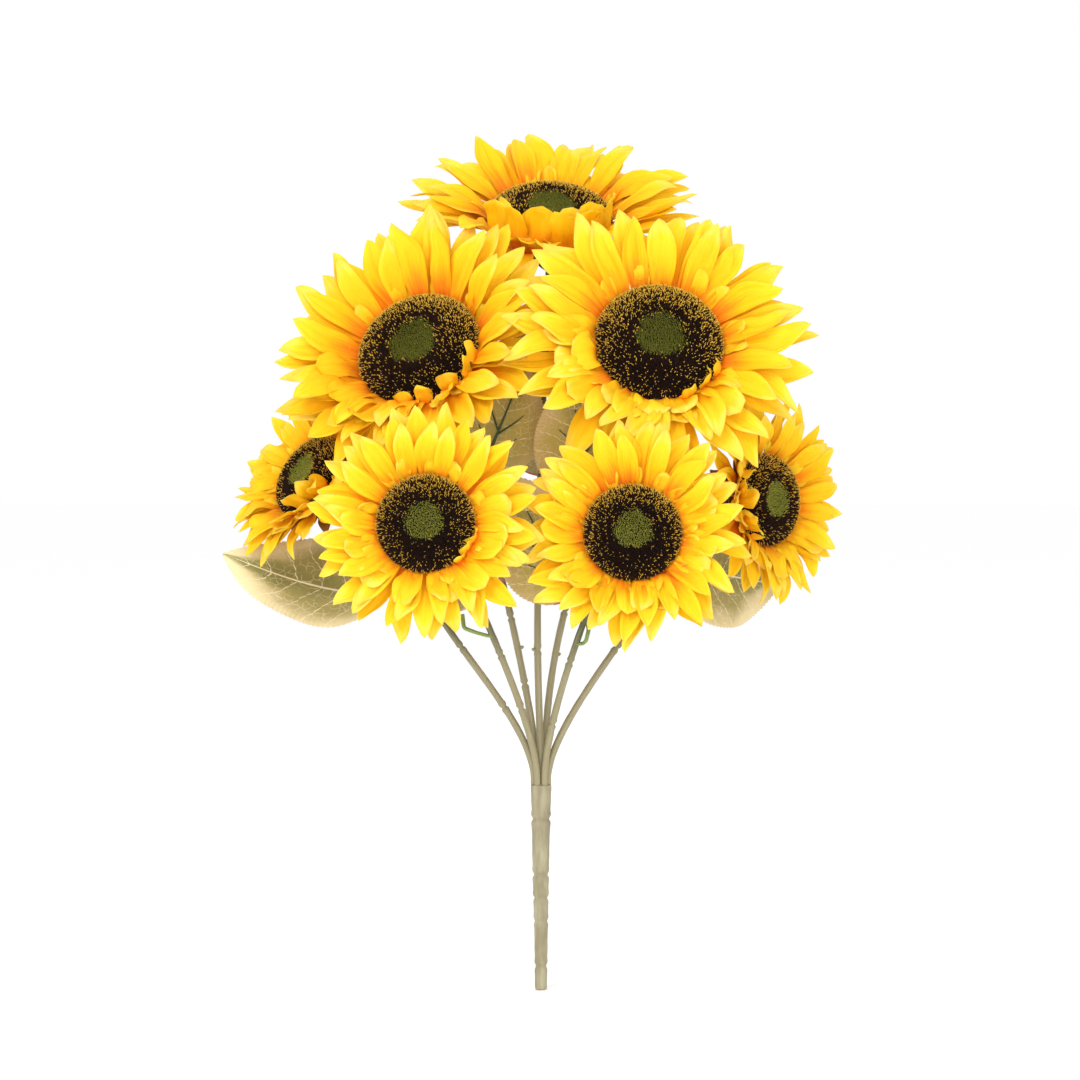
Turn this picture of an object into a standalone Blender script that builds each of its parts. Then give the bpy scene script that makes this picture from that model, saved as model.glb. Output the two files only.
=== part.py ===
"""An artificial sunflower bush: seven cloth blooms on seven plastic stems that spring from one moulded stem.

Run it with: blender --background --python part.py
Metres, +Z up.  The origin is the middle of the flat cut under the main stem, and the bush faces -Y.

Each bloom is a dish of petals, a domed disc that sits in it and a calyx that backs it, all held by one
empty, so that a bloom is placed by its middle and by the way it looks.  Each stem is one tapering limb
from the crown of the main stem to the back of its calyx.  Each leaf is a folded, toothed blade on a short
stalk, placed by how far up its stem it grows and by the way it points.
"""

import math
from typing import NamedTuple

import bmesh
import bpy
import numpy as np
from mathutils import Matrix, Vector

OBJECT_NAME = "sunflower_bush"
SEED = 7
GAP = 0.0003  # clearance between pieces that touch
UP = Vector((0.0, 0.0, 1.0))

# Main stem: a turned rod, a little wider towards its crown, nipped in at the joints of its mould.
MAIN_HEIGHT = 0.1315
MAIN_FOOT_RADIUS = 0.0037
MAIN_CROWN_RADIUS = 0.0064
MAIN_TAPER_BEND = 1.25  # over 1, the taper gathers towards the crown
MAIN_NECKS = (0.0150, 0.0440, 0.0590, 0.0740, 0.1100)  # heights of the nips
MAIN_NECK_DEPTH = 0.18  # share of the radius lost at a nip
MAIN_NECK_HALF = 0.0016
MAIN_SIDES = 14

# Stems: one up the middle of the crown and six in a ring round it.
STEM_RING_RADIUS = 0.0044
STEM_ROOT_RADIUS = 0.00200
STEM_THICK_RADIUS = 0.00215  # a little way above the crown
STEM_TIP_RADIUS = 0.00170
STEM_THICK_AT = 0.12  # share of the length where it is thickest
STEM_POINTS = 11
STEM_START_PULL = 0.085  # how long a stem keeps to the way it sets out
STEM_END_PULL = 0.055  # how long it takes to turn and face the way its bloom does
STEM_SOCKET = 0.003  # straight length at either end
PATH_SAMPLES = 96

# Petal dish, in shares of the petal's own pitch and length.
PETAL_CLEARANCE = 0.0010  # between the disc's side and the foot of the petals
PETAL_PLATE = 0.0030  # thickness of the pad that the petals are glued to
PETAL_SHAPE = ((0.0, 0.50), (0.24, 0.84), (0.50, 1.00), (0.76, 0.84))
PETAL_CREST = 0.40  # where the upper row stands highest above the lower one
ROW_SPREAD = 9.0  # degrees that each row stands above or below the middle of the dish
PETAL_LENGTHS = (0.92, 1.04)

# Disc profile, (radius, height) in shares of the disc's radius and height, from its sunken middle outwards.
DISC_PROFILE = ((0.0, 0.90), (0.48, 1.0), (0.84, 0.80), (1.0, 0.36), (0.94, 0.0), (0.0, 0.0))
DISC_SIDES = 16

# Calyx rings, (inner radius, outer radius, depth): radii in shares of the disc's, depth in shares of its own.
CALYX_RINGS = ((0.13, 0.13, 1.0), (0.46, 0.56, 0.60), (0.86, 1.40, 0.26), (0.62, 0.62, 0.0))
SEPALS = 9

# Leaf blade.
LEAF_THICKNESS = 0.0008
LEAF_ROWS = 9
LEAF_STALK_HALF = 0.0013
LEAF_TIP_HALF = 0.0004
LEAF_TOOTH = 0.05  # share of the half width between a tooth and the notch beside it
LEAF_BELLY = (0.52, 0.95)  # powers of the outline on the stalk's side and on the tip's side


class Size(NamedTuple):
    """The sizes of one kind of bloom."""

    reach: float  # middle of the disc to the tips of the petals
    disc_radius: float
    disc_height: float
    petals: int
    calyx_depth: float


LARGE = Size(reach=0.0970, disc_radius=0.0410, disc_height=0.0165, petals=18, calyx_depth=0.025)
SMALL = Size(reach=0.0720, disc_radius=0.0305, disc_height=0.0130, petals=16, calyx_depth=0.019)
SIDE = SMALL._replace(reach=0.0670, disc_radius=0.0295)


class Bloom(NamedTuple):
    """One bloom and the stem that carries it."""

    name: str
    size: Size
    middle: tuple  # middle of the disc's base
    turned: float  # degrees between the way it looks and -Y
    towards: float  # degrees from +X round to +Z, seen from the front: the side it is turned to
    cup: float  # degrees that its petals stand forward of flat
    crushed: float  # share of their length that its lowest petals lose, pressed up by the blooms below
    root: float | None  # degrees round the crown where its stem springs, or None in the middle
    bend: tuple  # a point that its stem passes through


BLOOMS = (
    Bloom("top", LARGE, (0.006, 0.076, 0.4960), 60, 88, 6, 0.42, None, (-0.002, 0.006, 0.255)),
    Bloom("upper_left", LARGE, (-0.077, 0.002, 0.409), 38, 122, 20, 0.14, 120, (-0.028, 0.020, 0.275)),
    Bloom("upper_right", LARGE, (0.074, -0.040, 0.413), 29, 80, 9, 0.0, 60, (0.016, 0.012, 0.245)),
    Bloom("lower_left", SMALL, (-0.070, -0.125, 0.303), 13, 110, 10, 0.0, 240, (-0.038, -0.035, 0.247)),
    Bloom("lower_right", SMALL, (0.056, -0.116, 0.297), 16, 90, 10, 0.0, 300, (0.027, -0.033, 0.238)),
    Bloom("far_left", SIDE, (-0.147, 0.030, 0.328), 58, 143, 10, 0.12, 180, (-0.059, 0.006, 0.231)),
    Bloom("far_right", SIDE, (0.142, -0.010, 0.315), 48, 5, 14, 0.0, 0, (0.062, -0.002, 0.240)),
)


class Leaf(NamedTuple):
    """One leaf: where it grows, the way it points, and its sizes."""

    name: str
    stem: str  # the bloom whose stem it grows on
    height: float  # of its foot
    around: float  # degrees from +X round to +Y
    rise: float  # degrees above level
    tilt: float  # degrees that its face leans from the sky towards -Y
    stalk: float
    length: float
    width: float
    droop: float  # degrees that its midrib curves back over its length
    fold: float  # degrees that each half is raised
    twist: float  # degrees that it turns about its own length, right-handed, from foot to tip


LEAVES = (
    Leaf("far_left", "far_left", 0.252, 163, 2, 36, 0.022, 0.116, 0.078, -26, 8, -20),
    Leaf("low_right", "far_right", 0.270, 32, -6, 74, 0.004, 0.088, 0.074, 12, 8, 0),
    Leaf("centre_low", "lower_right", 0.240, 178, 63, -80, 0.014, 0.090, 0.066, 8, 8, 0),
    Leaf("centre_pale", "lower_left", 0.272, 40, 62, -80, 0.006, 0.066, 0.046, 24, 8, 0),
    Leaf("centre_high_left", "upper_left", 0.325, 320, 62, -80, 0.008, 0.084, 0.058, 10, 8, 0),
    Leaf("centre_high_right", "upper_right", 0.310, 236, 66, -80, 0.008, 0.088, 0.066, 10, 8, 0),
    Leaf("between_heads", "top", 0.385, 285, 60, 80, 0.006, 0.070, 0.052, 6, 12, 0),
    Leaf("back_left_low", "far_left", 0.236, 100, 30, -30, 0.010, 0.094, 0.062, 22, 12, 0),
    Leaf("back_right_low", "far_right", 0.234, 68, 30, -30, 0.010, 0.094, 0.062, 22, 12, 0),
    Leaf("back_left_high", "upper_left", 0.350, 135, 20, -30, 0.010, 0.096, 0.064, 20, 12, 0),
    Leaf("back_right_high", "upper_right", 0.355, 50, 20, -30, 0.010, 0.096, 0.064, 20, 12, 0),
    Leaf("back_middle", "top", 0.325, 95, 24, -30, 0.010, 0.098, 0.066, 24, 12, 0),
    Leaf("back_top", "top", 0.410, 80, 20, -40, 0.008, 0.084, 0.058, 26, 12, 0),
    Leaf("back_left_inner", "upper_left", 0.265, 98, 40, -40, 0.008, 0.090, 0.060, 22, 12, 0),
    Leaf("back_right_inner", "upper_right", 0.275, 82, 38, -40, 0.008, 0.090, 0.060, 22, 12, 0),
    Leaf("side_right", "far_right", 0.298, 110, 42, -30, 0.008, 0.076, 0.054, 20, 12, 0),
    Leaf("side_left", "far_left", 0.288, 75, 40, -30, 0.008, 0.076, 0.054, 20, 12, 0),
)

# Finish of each kind of piece: linear base colour, roughness.
FINISHES = {
    "petals": ((0.93, 0.56, 0.010), 0.75),
    "disc": ((0.040, 0.022, 0.016), 0.95),
    "calyx": ((0.28, 0.16, 0.035), 0.80),
    "stem": ((0.30, 0.27, 0.155), 0.45),
    "leaf": ((0.34, 0.33, 0.150), 0.70),
}


def clear_scene():
    """Removes the objects that the file opened with."""
    for thing in list(bpy.data.objects):
        bpy.data.objects.remove(thing)


def finish(name, kind):
    """Returns a new material of one kind."""
    colour, roughness = FINISHES[kind]
    material = bpy.data.materials.new(name)
    material.use_nodes = True
    shader = material.node_tree.nodes["Principled BSDF"]
    shader.inputs["Base Color"].default_value = (*colour, 1.0)
    shader.inputs["Roughness"].default_value = roughness
    shader.inputs["Metallic"].default_value = 0.0
    return material


def add_object(name, data, kind, collection):
    """Links a new object with its own material and returns it."""
    thing = bpy.data.objects.new(name, data)
    thing.data.materials.append(finish(name, kind))
    collection.objects.link(thing)
    return thing


def facing(bloom):
    """Returns the direction that a bloom looks."""
    turned, towards = math.radians(bloom.turned), math.radians(bloom.towards)
    side = math.sin(turned)
    return Vector((side * math.cos(towards), -math.cos(turned), side * math.sin(towards)))


def calyx_back(size):
    """Returns how far behind the disc's base the calyx ends."""
    return PETAL_PLATE + 2 * GAP + size.calyx_depth


def ring_points(radii, heights):
    """Returns points evenly spaced round +Z, one for each radius and height."""
    step = 2 * math.pi / len(radii)
    return [
        Vector((radius * math.cos(step * i), radius * math.sin(step * i), height))
        for i, (radius, height) in enumerate(zip(radii, heights))
    ]


def loft_mesh(name, rings):
    """Returns a closed mesh through rings of equal count, the first and last ones filled flat.

    The rings run from the top of the piece down, and each one runs anticlockwise seen from above."""
    bm = bmesh.new()
    loops = [[bm.verts.new(point) for point in ring] for ring in rings]
    count = len(rings[0])
    for upper, lower in zip(loops, loops[1:]):
        for i in range(count):
            j = (i + 1) % count
            bm.faces.new((upper[i], lower[i], lower[j], upper[j]))
    bm.faces.new(loops[0])
    bm.faces.new(reversed(loops[-1]))
    bmesh.ops.triangulate(bm, faces=bm.faces[:])
    mesh = bpy.data.meshes.new(name)
    bm.to_mesh(mesh)
    bm.free()
    return mesh


def turned_object(name, profile, sides, kind, collection):
    """Returns a solid turned about +Z from a profile that runs down its outer side, axis to axis."""
    mesh = bpy.data.meshes.new(name)
    points = [(radius, 0.0, height) for radius, height in profile]
    mesh.from_pydata(points, [(i, i + 1) for i in range(len(points) - 1)], [])
    thing = add_object(name, mesh, kind, collection)
    screw = thing.modifiers.new("turn", "SCREW")
    screw.steps = screw.render_steps = sides
    screw.use_merge_vertices = True
    screw.merge_threshold = 0.00001
    screw.use_smooth_shade = True
    return thing


def main_radius(height):
    """Returns the main stem's radius at a height: a taper with a nip at each joint of its mould."""
    share = height / MAIN_HEIGHT
    radius = MAIN_FOOT_RADIUS + (MAIN_CROWN_RADIUS - MAIN_FOOT_RADIUS) * share**MAIN_TAPER_BEND
    nip = max(0.0, 1.0 - min(abs(height - neck) for neck in MAIN_NECKS) / MAIN_NECK_HALF)
    return radius * (1.0 - MAIN_NECK_DEPTH * nip)


def build_main_stem(collection):
    """Makes the moulded rod that carries the seven stems."""
    edges = [neck + side * MAIN_NECK_HALF for neck in MAIN_NECKS for side in (-1, 0, 1)]
    heights = sorted([0.0, MAIN_HEIGHT, *edges], reverse=True)
    profile = [(0.0, MAIN_HEIGHT), *((main_radius(z), z) for z in heights), (0.0, 0.0)]
    return turned_object("main_stem", profile, MAIN_SIDES, "stem", collection)


def hermite_path(knots, start, end):
    """Returns evenly spaced points of a smooth path through the knots, with the given end tangents."""
    knots = [np.array(knot) for knot in knots]
    tangents = [np.array(start)]
    for before, after in zip(knots, knots[2:]):
        tangents.append((after - before) / 2)
    tangents.append(np.array(end))
    shares = np.linspace(0, 1, PATH_SAMPLES)[:, None]
    a, b = 2 * shares**3 - 3 * shares**2 + 1, shares**3 - 2 * shares**2 + shares
    c, d = 3 * shares**2 - 2 * shares**3, shares**3 - shares**2
    spans = [
        a * knots[i] + b * tangents[i] + c * knots[i + 1] + d * tangents[i + 1]
        for i in range(len(knots) - 1)
    ]
    dense = np.concatenate([spans[0], *(span[1:] for span in spans[1:])])
    steps = np.linalg.norm(np.diff(dense, axis=0), axis=1)
    reached = np.concatenate([[0.0], np.cumsum(steps)]) / steps.sum()
    even = np.linspace(0, 1, STEM_POINTS)
    return [Vector([np.interp(share, reached, dense[:, k]) for k in range(3)]) for share in even]


def stem_path(bloom):
    """Returns the points of a bloom's stem, from the crown to the back of the calyx."""
    around = 0.0 if bloom.root is None else math.radians(bloom.root)
    out = 0.0 if bloom.root is None else STEM_RING_RADIUS
    root = Vector((out * math.cos(around), out * math.sin(around), MAIN_HEIGHT + GAP))
    look = facing(bloom)
    end = Vector(bloom.middle) - look * (calyx_back(bloom.size) + GAP)
    knots = (root + UP * STEM_SOCKET, bloom.bend, end - look * STEM_SOCKET)
    return [root, *hermite_path(knots, UP * STEM_START_PULL, look * STEM_END_PULL), end]


def stem_radius(share):
    """Returns a stem's radius at a share of its length."""
    shares = (0.0, STEM_THICK_AT, 1.0)
    return float(np.interp(share, shares, (STEM_ROOT_RADIUS, STEM_THICK_RADIUS, STEM_TIP_RADIUS)))


def build_stem(bloom, collection):
    """Makes one stem as a tapering round limb."""
    name = f"stem_{bloom.name}"
    curve = bpy.data.curves.new(name, "CURVE")
    curve.dimensions = "3D"
    curve.bevel_depth = 1.0
    curve.bevel_resolution = 2
    curve.use_fill_caps = True
    points = stem_path(bloom)
    spline = curve.splines.new("POLY")
    spline.points.add(len(points) - 1)
    for i, point in enumerate(points):
        spline.points[i].co = (*point, 1.0)
        spline.points[i].radius = stem_radius(i / (len(points) - 1))
    return add_object(name, curve, "stem", collection)


def kept_length(bloom, turn):
    """Returns the share of its length that a petal keeps, by where it stands round the disc."""
    return 1.0 - bloom.crushed * max(0.0, -math.sin(2 * math.pi * turn))


def petal_rings(bloom, chance):
    """Returns the rings of a dish of petals: the pad under the disc, the crest, the outline and the back."""
    size = bloom.size
    foot = size.disc_radius + PETAL_CLEARANCE
    span = size.reach - foot
    rise = math.radians(bloom.cup + 2 * ROW_SPREAD)
    top = (foot + span * PETAL_CREST * math.cos(rise), span * PETAL_CREST * math.sin(rise))
    outline = []
    for petal in range(size.petals):
        row = ROW_SPREAD if petal % 2 else -ROW_SPREAD
        length = chance.uniform(*PETAL_LENGTHS) * kept_length(bloom, (petal + 0.5) / size.petals)
        for turn, share in PETAL_SHAPE:
            lift = math.radians(bloom.cup + (row if turn else 0.0))
            along = span * share * (length if turn else 1.0)
            outline.append((foot + along * math.cos(lift), along * math.sin(lift)))
    count = len(outline)
    return (
        ring_points([foot] * count, [-GAP] * count),
        ring_points(*zip(*[top] * count)),
        ring_points(*zip(*outline)),
        ring_points([foot] * count, [-GAP - PETAL_PLATE] * count),
    )


def calyx_rings(size):
    """Returns the rings of a calyx: a cup with pointed sepals round its rim, narrowing to the stem."""
    top = -PETAL_PLATE - 2 * GAP
    rings = []
    for inner, outer, depth in reversed(CALYX_RINGS):
        radii = [size.disc_radius * (outer if i % 2 else inner) for i in range(2 * SEPALS)]
        rings.append(ring_points(radii, [top - depth * size.calyx_depth] * len(radii)))
    return rings


def build_bloom(bloom, index, collection):
    """Makes one bloom's petals, disc and calyx on an empty that looks the way it does."""
    holder = bpy.data.objects.new(f"holder_{bloom.name}", None)
    holder.location = bloom.middle
    holder.rotation_mode = "QUATERNION"
    holder.rotation_quaternion = facing(bloom).to_track_quat("Z", "Y")
    collection.objects.link(holder)
    chance = np.random.default_rng(SEED + index)
    size = bloom.size
    dish = loft_mesh(f"petals_{bloom.name}", petal_rings(bloom, chance))
    cup = loft_mesh(f"calyx_{bloom.name}", calyx_rings(size))
    profile = [(radius * size.disc_radius, height * size.disc_height) for radius, height in DISC_PROFILE]
    pieces = (
        add_object(dish.name, dish, "petals", collection),
        add_object(cup.name, cup, "calyx", collection),
        turned_object(f"disc_{bloom.name}", profile, DISC_SIDES, "disc", collection),
    )
    for piece in pieces:
        piece.parent = holder


def leaf_half_width(leaf, share):
    """Returns half the blade's width at a share of its length: full near the stalk, drawn out to the tip."""
    low, high = LEAF_BELLY
    widest = low / (low + high)
    fullest = widest**low * (1 - widest) ** high
    return leaf.width / 2 * share**low * (1 - share) ** high / fullest


def leaf_row(leaf, row, share, place, angle):
    """Returns the three points across a blade at one row: the left edge, the midrib and the right edge."""
    tooth = 1.0 + (LEAF_TOOTH if row % 2 else -LEAF_TOOTH)
    half = max(leaf_half_width(leaf, share) * tooth, LEAF_STALK_HALF if share < 1 else LEAF_TIP_HALF)
    raised = math.radians(leaf.fold) if share else 0.0
    twist = Matrix.Rotation(math.radians(leaf.twist) * share, 3, "Y")
    bend = Matrix.Rotation(angle, 3, "X")
    edges = [Vector((side * half * math.cos(raised), 0.0, half * math.sin(raised))) for side in (-1, 1)]
    left, right = (place + bend @ twist @ edge for edge in edges)
    return left, place, right


def leaf_mesh(leaf):
    """Returns the open surface of a leaf: a stalk, then two toothed halves raised either side of the midrib.

    It grows along its own +Y from the stalk's foot, with its face to +Z."""
    bm = bmesh.new()
    shares = [0.0, 0.0, *((i + 0.5) / LEAF_ROWS for i in range(LEAF_ROWS)), 1.0]
    reached = [0.0, *(leaf.stalk + leaf.length * share for share in shares[1:])]
    rows = []
    place = Vector((0.0, 0.0, 0.0))
    for row, share in enumerate(shares):
        angle = -math.radians(leaf.droop) * share
        step = reached[row] - reached[max(row - 1, 0)]
        place = place + Vector((0.0, math.cos(angle), math.sin(angle))) * step
        rows.append([bm.verts.new(point) for point in leaf_row(leaf, row, share, place, angle)])
    for near, far in zip(rows, rows[1:]):
        for i in range(2):
            bm.faces.new((near[i], near[i + 1], far[i + 1], far[i]))
    mesh = bpy.data.meshes.new(f"leaf_{leaf.name}")
    bm.to_mesh(mesh)
    bm.free()
    return mesh


def point_at_height(path, height):
    """Returns the first point of a stem's path at a height."""
    for below, above in zip(path, path[1:]):
        if above.z >= height:
            return below.lerp(above, (height - below.z) / (above.z - below.z))
    return path[-1]


def leaf_frame(leaf, path):
    """Returns the matrix that sets a leaf's foot at its stem's side, pointing and facing its own way."""
    around, rise, tilt = (math.radians(angle) for angle in (leaf.around, leaf.rise, leaf.tilt))
    along = Vector((math.cos(rise) * math.cos(around), math.cos(rise) * math.sin(around), math.sin(rise)))
    leaning = Vector((0.0, -math.sin(tilt), math.cos(tilt)))
    face = (leaning - along * leaning.dot(along)).normalized()
    away = (along - UP * along.z).normalized()
    foot = point_at_height(path, leaf.height) + away * (STEM_THICK_RADIUS + LEAF_THICKNESS + 2 * GAP)
    frame = Matrix((along.cross(face), along, face)).transposed().to_4x4()
    frame.translation = foot
    return frame


def build_leaf(leaf, path, collection):
    """Makes one leaf as a thin shell of even thickness."""
    thing = add_object(f"leaf_{leaf.name}", leaf_mesh(leaf), "leaf", collection)
    shell = thing.modifiers.new("cloth", "SOLIDIFY")
    shell.thickness = LEAF_THICKNESS
    shell.offset = 0.0
    thing.matrix_world = leaf_frame(leaf, path)
    return thing


def main():
    """Builds the whole bush in a collection of its own."""
    clear_scene()
    collection = bpy.data.collections.new(OBJECT_NAME)
    bpy.context.scene.collection.children.link(collection)
    build_main_stem(collection)
    for index, bloom in enumerate(BLOOMS):
        build_stem(bloom, collection)
        build_bloom(bloom, index, collection)
    paths = {bloom.name: stem_path(bloom) for bloom in BLOOMS}
    for leaf in LEAVES:
        build_leaf(leaf, paths[leaf.stem], collection)


main()
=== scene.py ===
"""The finished looks of an artificial sunflower bush: cloth petals, flocked discs, printed leaves, stems.

Metres, +Z up.  The origin is the middle of the flat cut under the main stem, and the bush faces -Y.  Things
that repeat by the hundred (petals, bristles, sepals) are laid out as arrays by seeded rules and joined, each
kind apart.  Turned cores are modelled with the mesh operators.
"""

import logging
import math
from dataclasses import dataclass, field
from enum import Enum

import bpy
import numpy as np
from mathutils import Matrix, Vector


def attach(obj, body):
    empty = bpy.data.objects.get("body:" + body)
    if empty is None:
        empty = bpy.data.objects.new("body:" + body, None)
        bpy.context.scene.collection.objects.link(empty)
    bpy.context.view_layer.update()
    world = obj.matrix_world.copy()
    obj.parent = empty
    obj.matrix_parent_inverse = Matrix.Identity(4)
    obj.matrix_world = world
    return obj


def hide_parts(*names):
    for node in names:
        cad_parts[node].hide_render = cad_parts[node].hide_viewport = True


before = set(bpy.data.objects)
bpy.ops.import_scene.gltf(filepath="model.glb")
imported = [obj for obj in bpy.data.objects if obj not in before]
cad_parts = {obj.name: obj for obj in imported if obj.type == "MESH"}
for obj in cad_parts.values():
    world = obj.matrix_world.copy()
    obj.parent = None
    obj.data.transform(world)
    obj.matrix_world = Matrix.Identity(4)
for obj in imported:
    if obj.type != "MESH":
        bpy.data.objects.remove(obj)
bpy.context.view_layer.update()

LOG = logging.getLogger("sunflower_bush")
SEED = 11
BODY = "root"
UV_NAME = "OFBake"  # map that petals, leaves and bristles bring for their colours
GOLDEN_ANGLE = math.pi * (3.0 - math.sqrt(5.0))
UP = Vector((0.0, 0.0, 1.0))
TILES = 8  # columns of the map that petals, bristles, sepals and ribs are dealt among
SIDE_VEINS = 7.0  # of a leaf
VEIN_SWEEP = 0.20  # how far a side vein runs towards the tip, in shares of the leaf's length
TINY = 1e-12  # keeps a length of nothing from being divided by

# Main stem and the seven stems, as the frame's solids have them.
MAIN_HEIGHT = 0.1315
MAIN_FOOT_RADIUS = 0.0037
MAIN_CROWN_RADIUS = 0.0064
MAIN_TAPER_BEND = 1.25  # power of the height that the rod widens by
MAIN_NECKS = (0.0150, 0.0440, 0.0590, 0.0740, 0.1100)  # heights of its mould joints
STEM_RING_RADIUS = 0.0044  # of the ring on the crown that the stems spring from
STEM_ROOT_RADIUS = 0.00200
STEM_THICK_RADIUS = 0.00215
STEM_TIP_RADIUS = 0.00170
STEM_THICK_AT = 0.12  # share of its length where a stem is thickest
STEM_START_PULL = 0.085  # how strongly a stem keeps the way it starts
STEM_END_PULL = 0.055  # how strongly it keeps the way it ends
STEM_SOCKET = 0.003  # straight length at either end of a stem
GAP = 0.0003  # between solids that stand on each other
PETAL_PLATE = 0.0030  # depth of the petals' roots behind the disc

Colour = tuple[float, float, float]


class Slot(Enum):
    """The record's material slots."""

    STEM = "stem"
    PETALS = "petals"
    DISC = "disc"
    CALYX = "calyx"
    LEAF = "leaf"


# --------------------------------------------------------------------------------------------------------
# Plans: what stands where
# --------------------------------------------------------------------------------------------------------


@dataclass(frozen=True)
class BloomSize:
    """The sizes of one kind of bloom."""

    reach: float  # from the middle to the tips of flat petals
    disc_radius: float
    disc_height: float
    petals: int  # in one ring
    calyx_depth: float
    petal_half_width: float
    ruff_rings: int = 1
    fleck: float = 0.00022  # radius of a gold bristle's head
    pale_moss: bool = True  # whether the middle of the disc is of the paler green


LARGE = BloomSize(reach=0.0970, disc_radius=0.0410, disc_height=0.0165, petals=19, calyx_depth=0.025,
                  petal_half_width=0.0089, ruff_rings=2, fleck=0.00028, pale_moss=False)
SMALL = BloomSize(reach=0.0720, disc_radius=0.0305, disc_height=0.0130, petals=18, calyx_depth=0.019,
                  petal_half_width=0.0071)
SIDE = BloomSize(reach=0.0670, disc_radius=0.0295, disc_height=0.0130, petals=19, calyx_depth=0.019,
                 petal_half_width=0.0061)


@dataclass(frozen=True)
class Press:
    """A side of a bloom where its neighbours push the petals up over the disc."""

    towards: float  # degrees round the disc from its own right
    spread: float  # degrees either side that feel it
    lift: float  # degrees that the petals there are raised
    kept: float  # share of their length that shows

    def felt(self, around: np.ndarray) -> np.ndarray:
        """Returns how much of the push is felt at angles in radians."""
        return eased(1.0 - degrees_apart(around, self.towards) / self.spread)


@dataclass(frozen=True)
class Arc:
    """A stretch of a bloom's rim."""

    towards: float  # degrees round the disc from its own right
    spread: float  # degrees either side

    def holds(self, around: np.ndarray) -> np.ndarray:
        """Returns which angles, in radians, lie in the arc."""
        return degrees_apart(around, self.towards) < self.spread


@dataclass(frozen=True)
class BloomPlan:
    """Where one bloom stands, how it looks out, and the stem that carries it."""

    name: str
    size: BloomSize
    middle: tuple[float, float, float]
    turned: float  # degrees that it looks away from straight ahead
    towards: float  # the side that it turns to, in degrees round from its right
    cup: float  # degrees that the petals stand up
    root: float | None  # degrees round the crown where the stem springs, or none for its middle
    bend: tuple[float, float, float]  # a place that the stem passes
    nips: tuple[float, ...]  # heights where the mould nips the stem
    ruff: Arc  # where the short rounded petals crowd the rim
    nubs: tuple[tuple[float, float], ...] = ()  # height and side (degrees round +Z) of cut-off side shoots
    press: Press | None = None
    crowded: bool = False  # whether the ruff takes the long petals' place and stands up over the disc
    shaded_ruff: bool = False  # whether the ruff lies in shade: longer, and of a cloth painted more orange-gold as shade
    lip: Arc | None = None  # where small folded petals stand over the disc's rim

    def facing(self) -> Vector:
        """Returns the direction that the bloom looks."""
        turned, towards = math.radians(self.turned), math.radians(self.towards)
        side = math.sin(turned)
        return Vector((side * math.cos(towards), -math.cos(turned), side * math.sin(towards)))

    def placed(self) -> Matrix:
        """Returns the matrix from the bloom's own frame, +Z the way it looks, to the row frame."""
        turn = self.facing().to_track_quat("Z", "Y").to_matrix().to_4x4()
        return Matrix.Translation(self.middle) @ turn


BLOOMS = (
    BloomPlan(
        "top", LARGE, middle=(0.006, 0.076, 0.4960), turned=60, towards=88, cup=12, root=None,
        bend=(-0.002, 0.006, 0.255), nips=(0.219, 0.300), ruff=Arc(-92, 62), nubs=((0.218, 195),),
        crowded=True, shaded_ruff=True,
    ),
    BloomPlan(
        "upper_left", LARGE, middle=(-0.077, 0.002, 0.409), turned=38, towards=122, cup=20, root=120,
        bend=(-0.028, 0.020, 0.275), nips=(0.196, 0.239, 0.300), ruff=Arc(-112, 48), nubs=((0.2185, 350),),
        press=Press(towards=-75, spread=50, lift=12, kept=0.86), shaded_ruff=True, lip=Arc(-42, 52),
    ),
    BloomPlan(
        "upper_right", LARGE, middle=(0.074, -0.040, 0.413), turned=29, towards=80, cup=9, root=60,
        bend=(0.016, 0.012, 0.245), nips=(0.243, 0.300), ruff=Arc(-118, 82), nubs=((0.214, 20),),
        lip=Arc(-52, 34),
    ),
    BloomPlan(
        "lower_left", SMALL, middle=(-0.070, -0.125, 0.303), turned=13, towards=110, cup=10, root=240,
        bend=(-0.038, -0.035, 0.247), nips=(0.182, 0.217), ruff=Arc(-80, 100), nubs=((0.2285, 170),),
        lip=Arc(-30, 36),
    ),
    BloomPlan(
        "lower_right", SMALL, middle=(0.056, -0.116, 0.297), turned=16, towards=90, cup=10, root=300,
        bend=(0.027, -0.033, 0.238), nips=(0.172, 0.212), ruff=Arc(-90, 115),
    ),
    BloomPlan(
        "far_left", SIDE, middle=(-0.147, 0.030, 0.328), turned=58, towards=143, cup=10, root=180,
        bend=(-0.059, 0.006, 0.231), nips=(0.182, 0.220), ruff=Arc(-100, 90),
        press=Press(towards=-40, spread=60, lift=60, kept=0.75),
    ),
    BloomPlan(
        "far_right", SIDE, middle=(0.142, -0.010, 0.315), turned=48, towards=5, cup=14, root=0,
        bend=(0.062, -0.002, 0.240), nips=(0.220,), ruff=Arc(-130, 90),
        press=Press(towards=190, spread=60, lift=34, kept=0.85), lip=Arc(185, 50),
    ),
)


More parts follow.
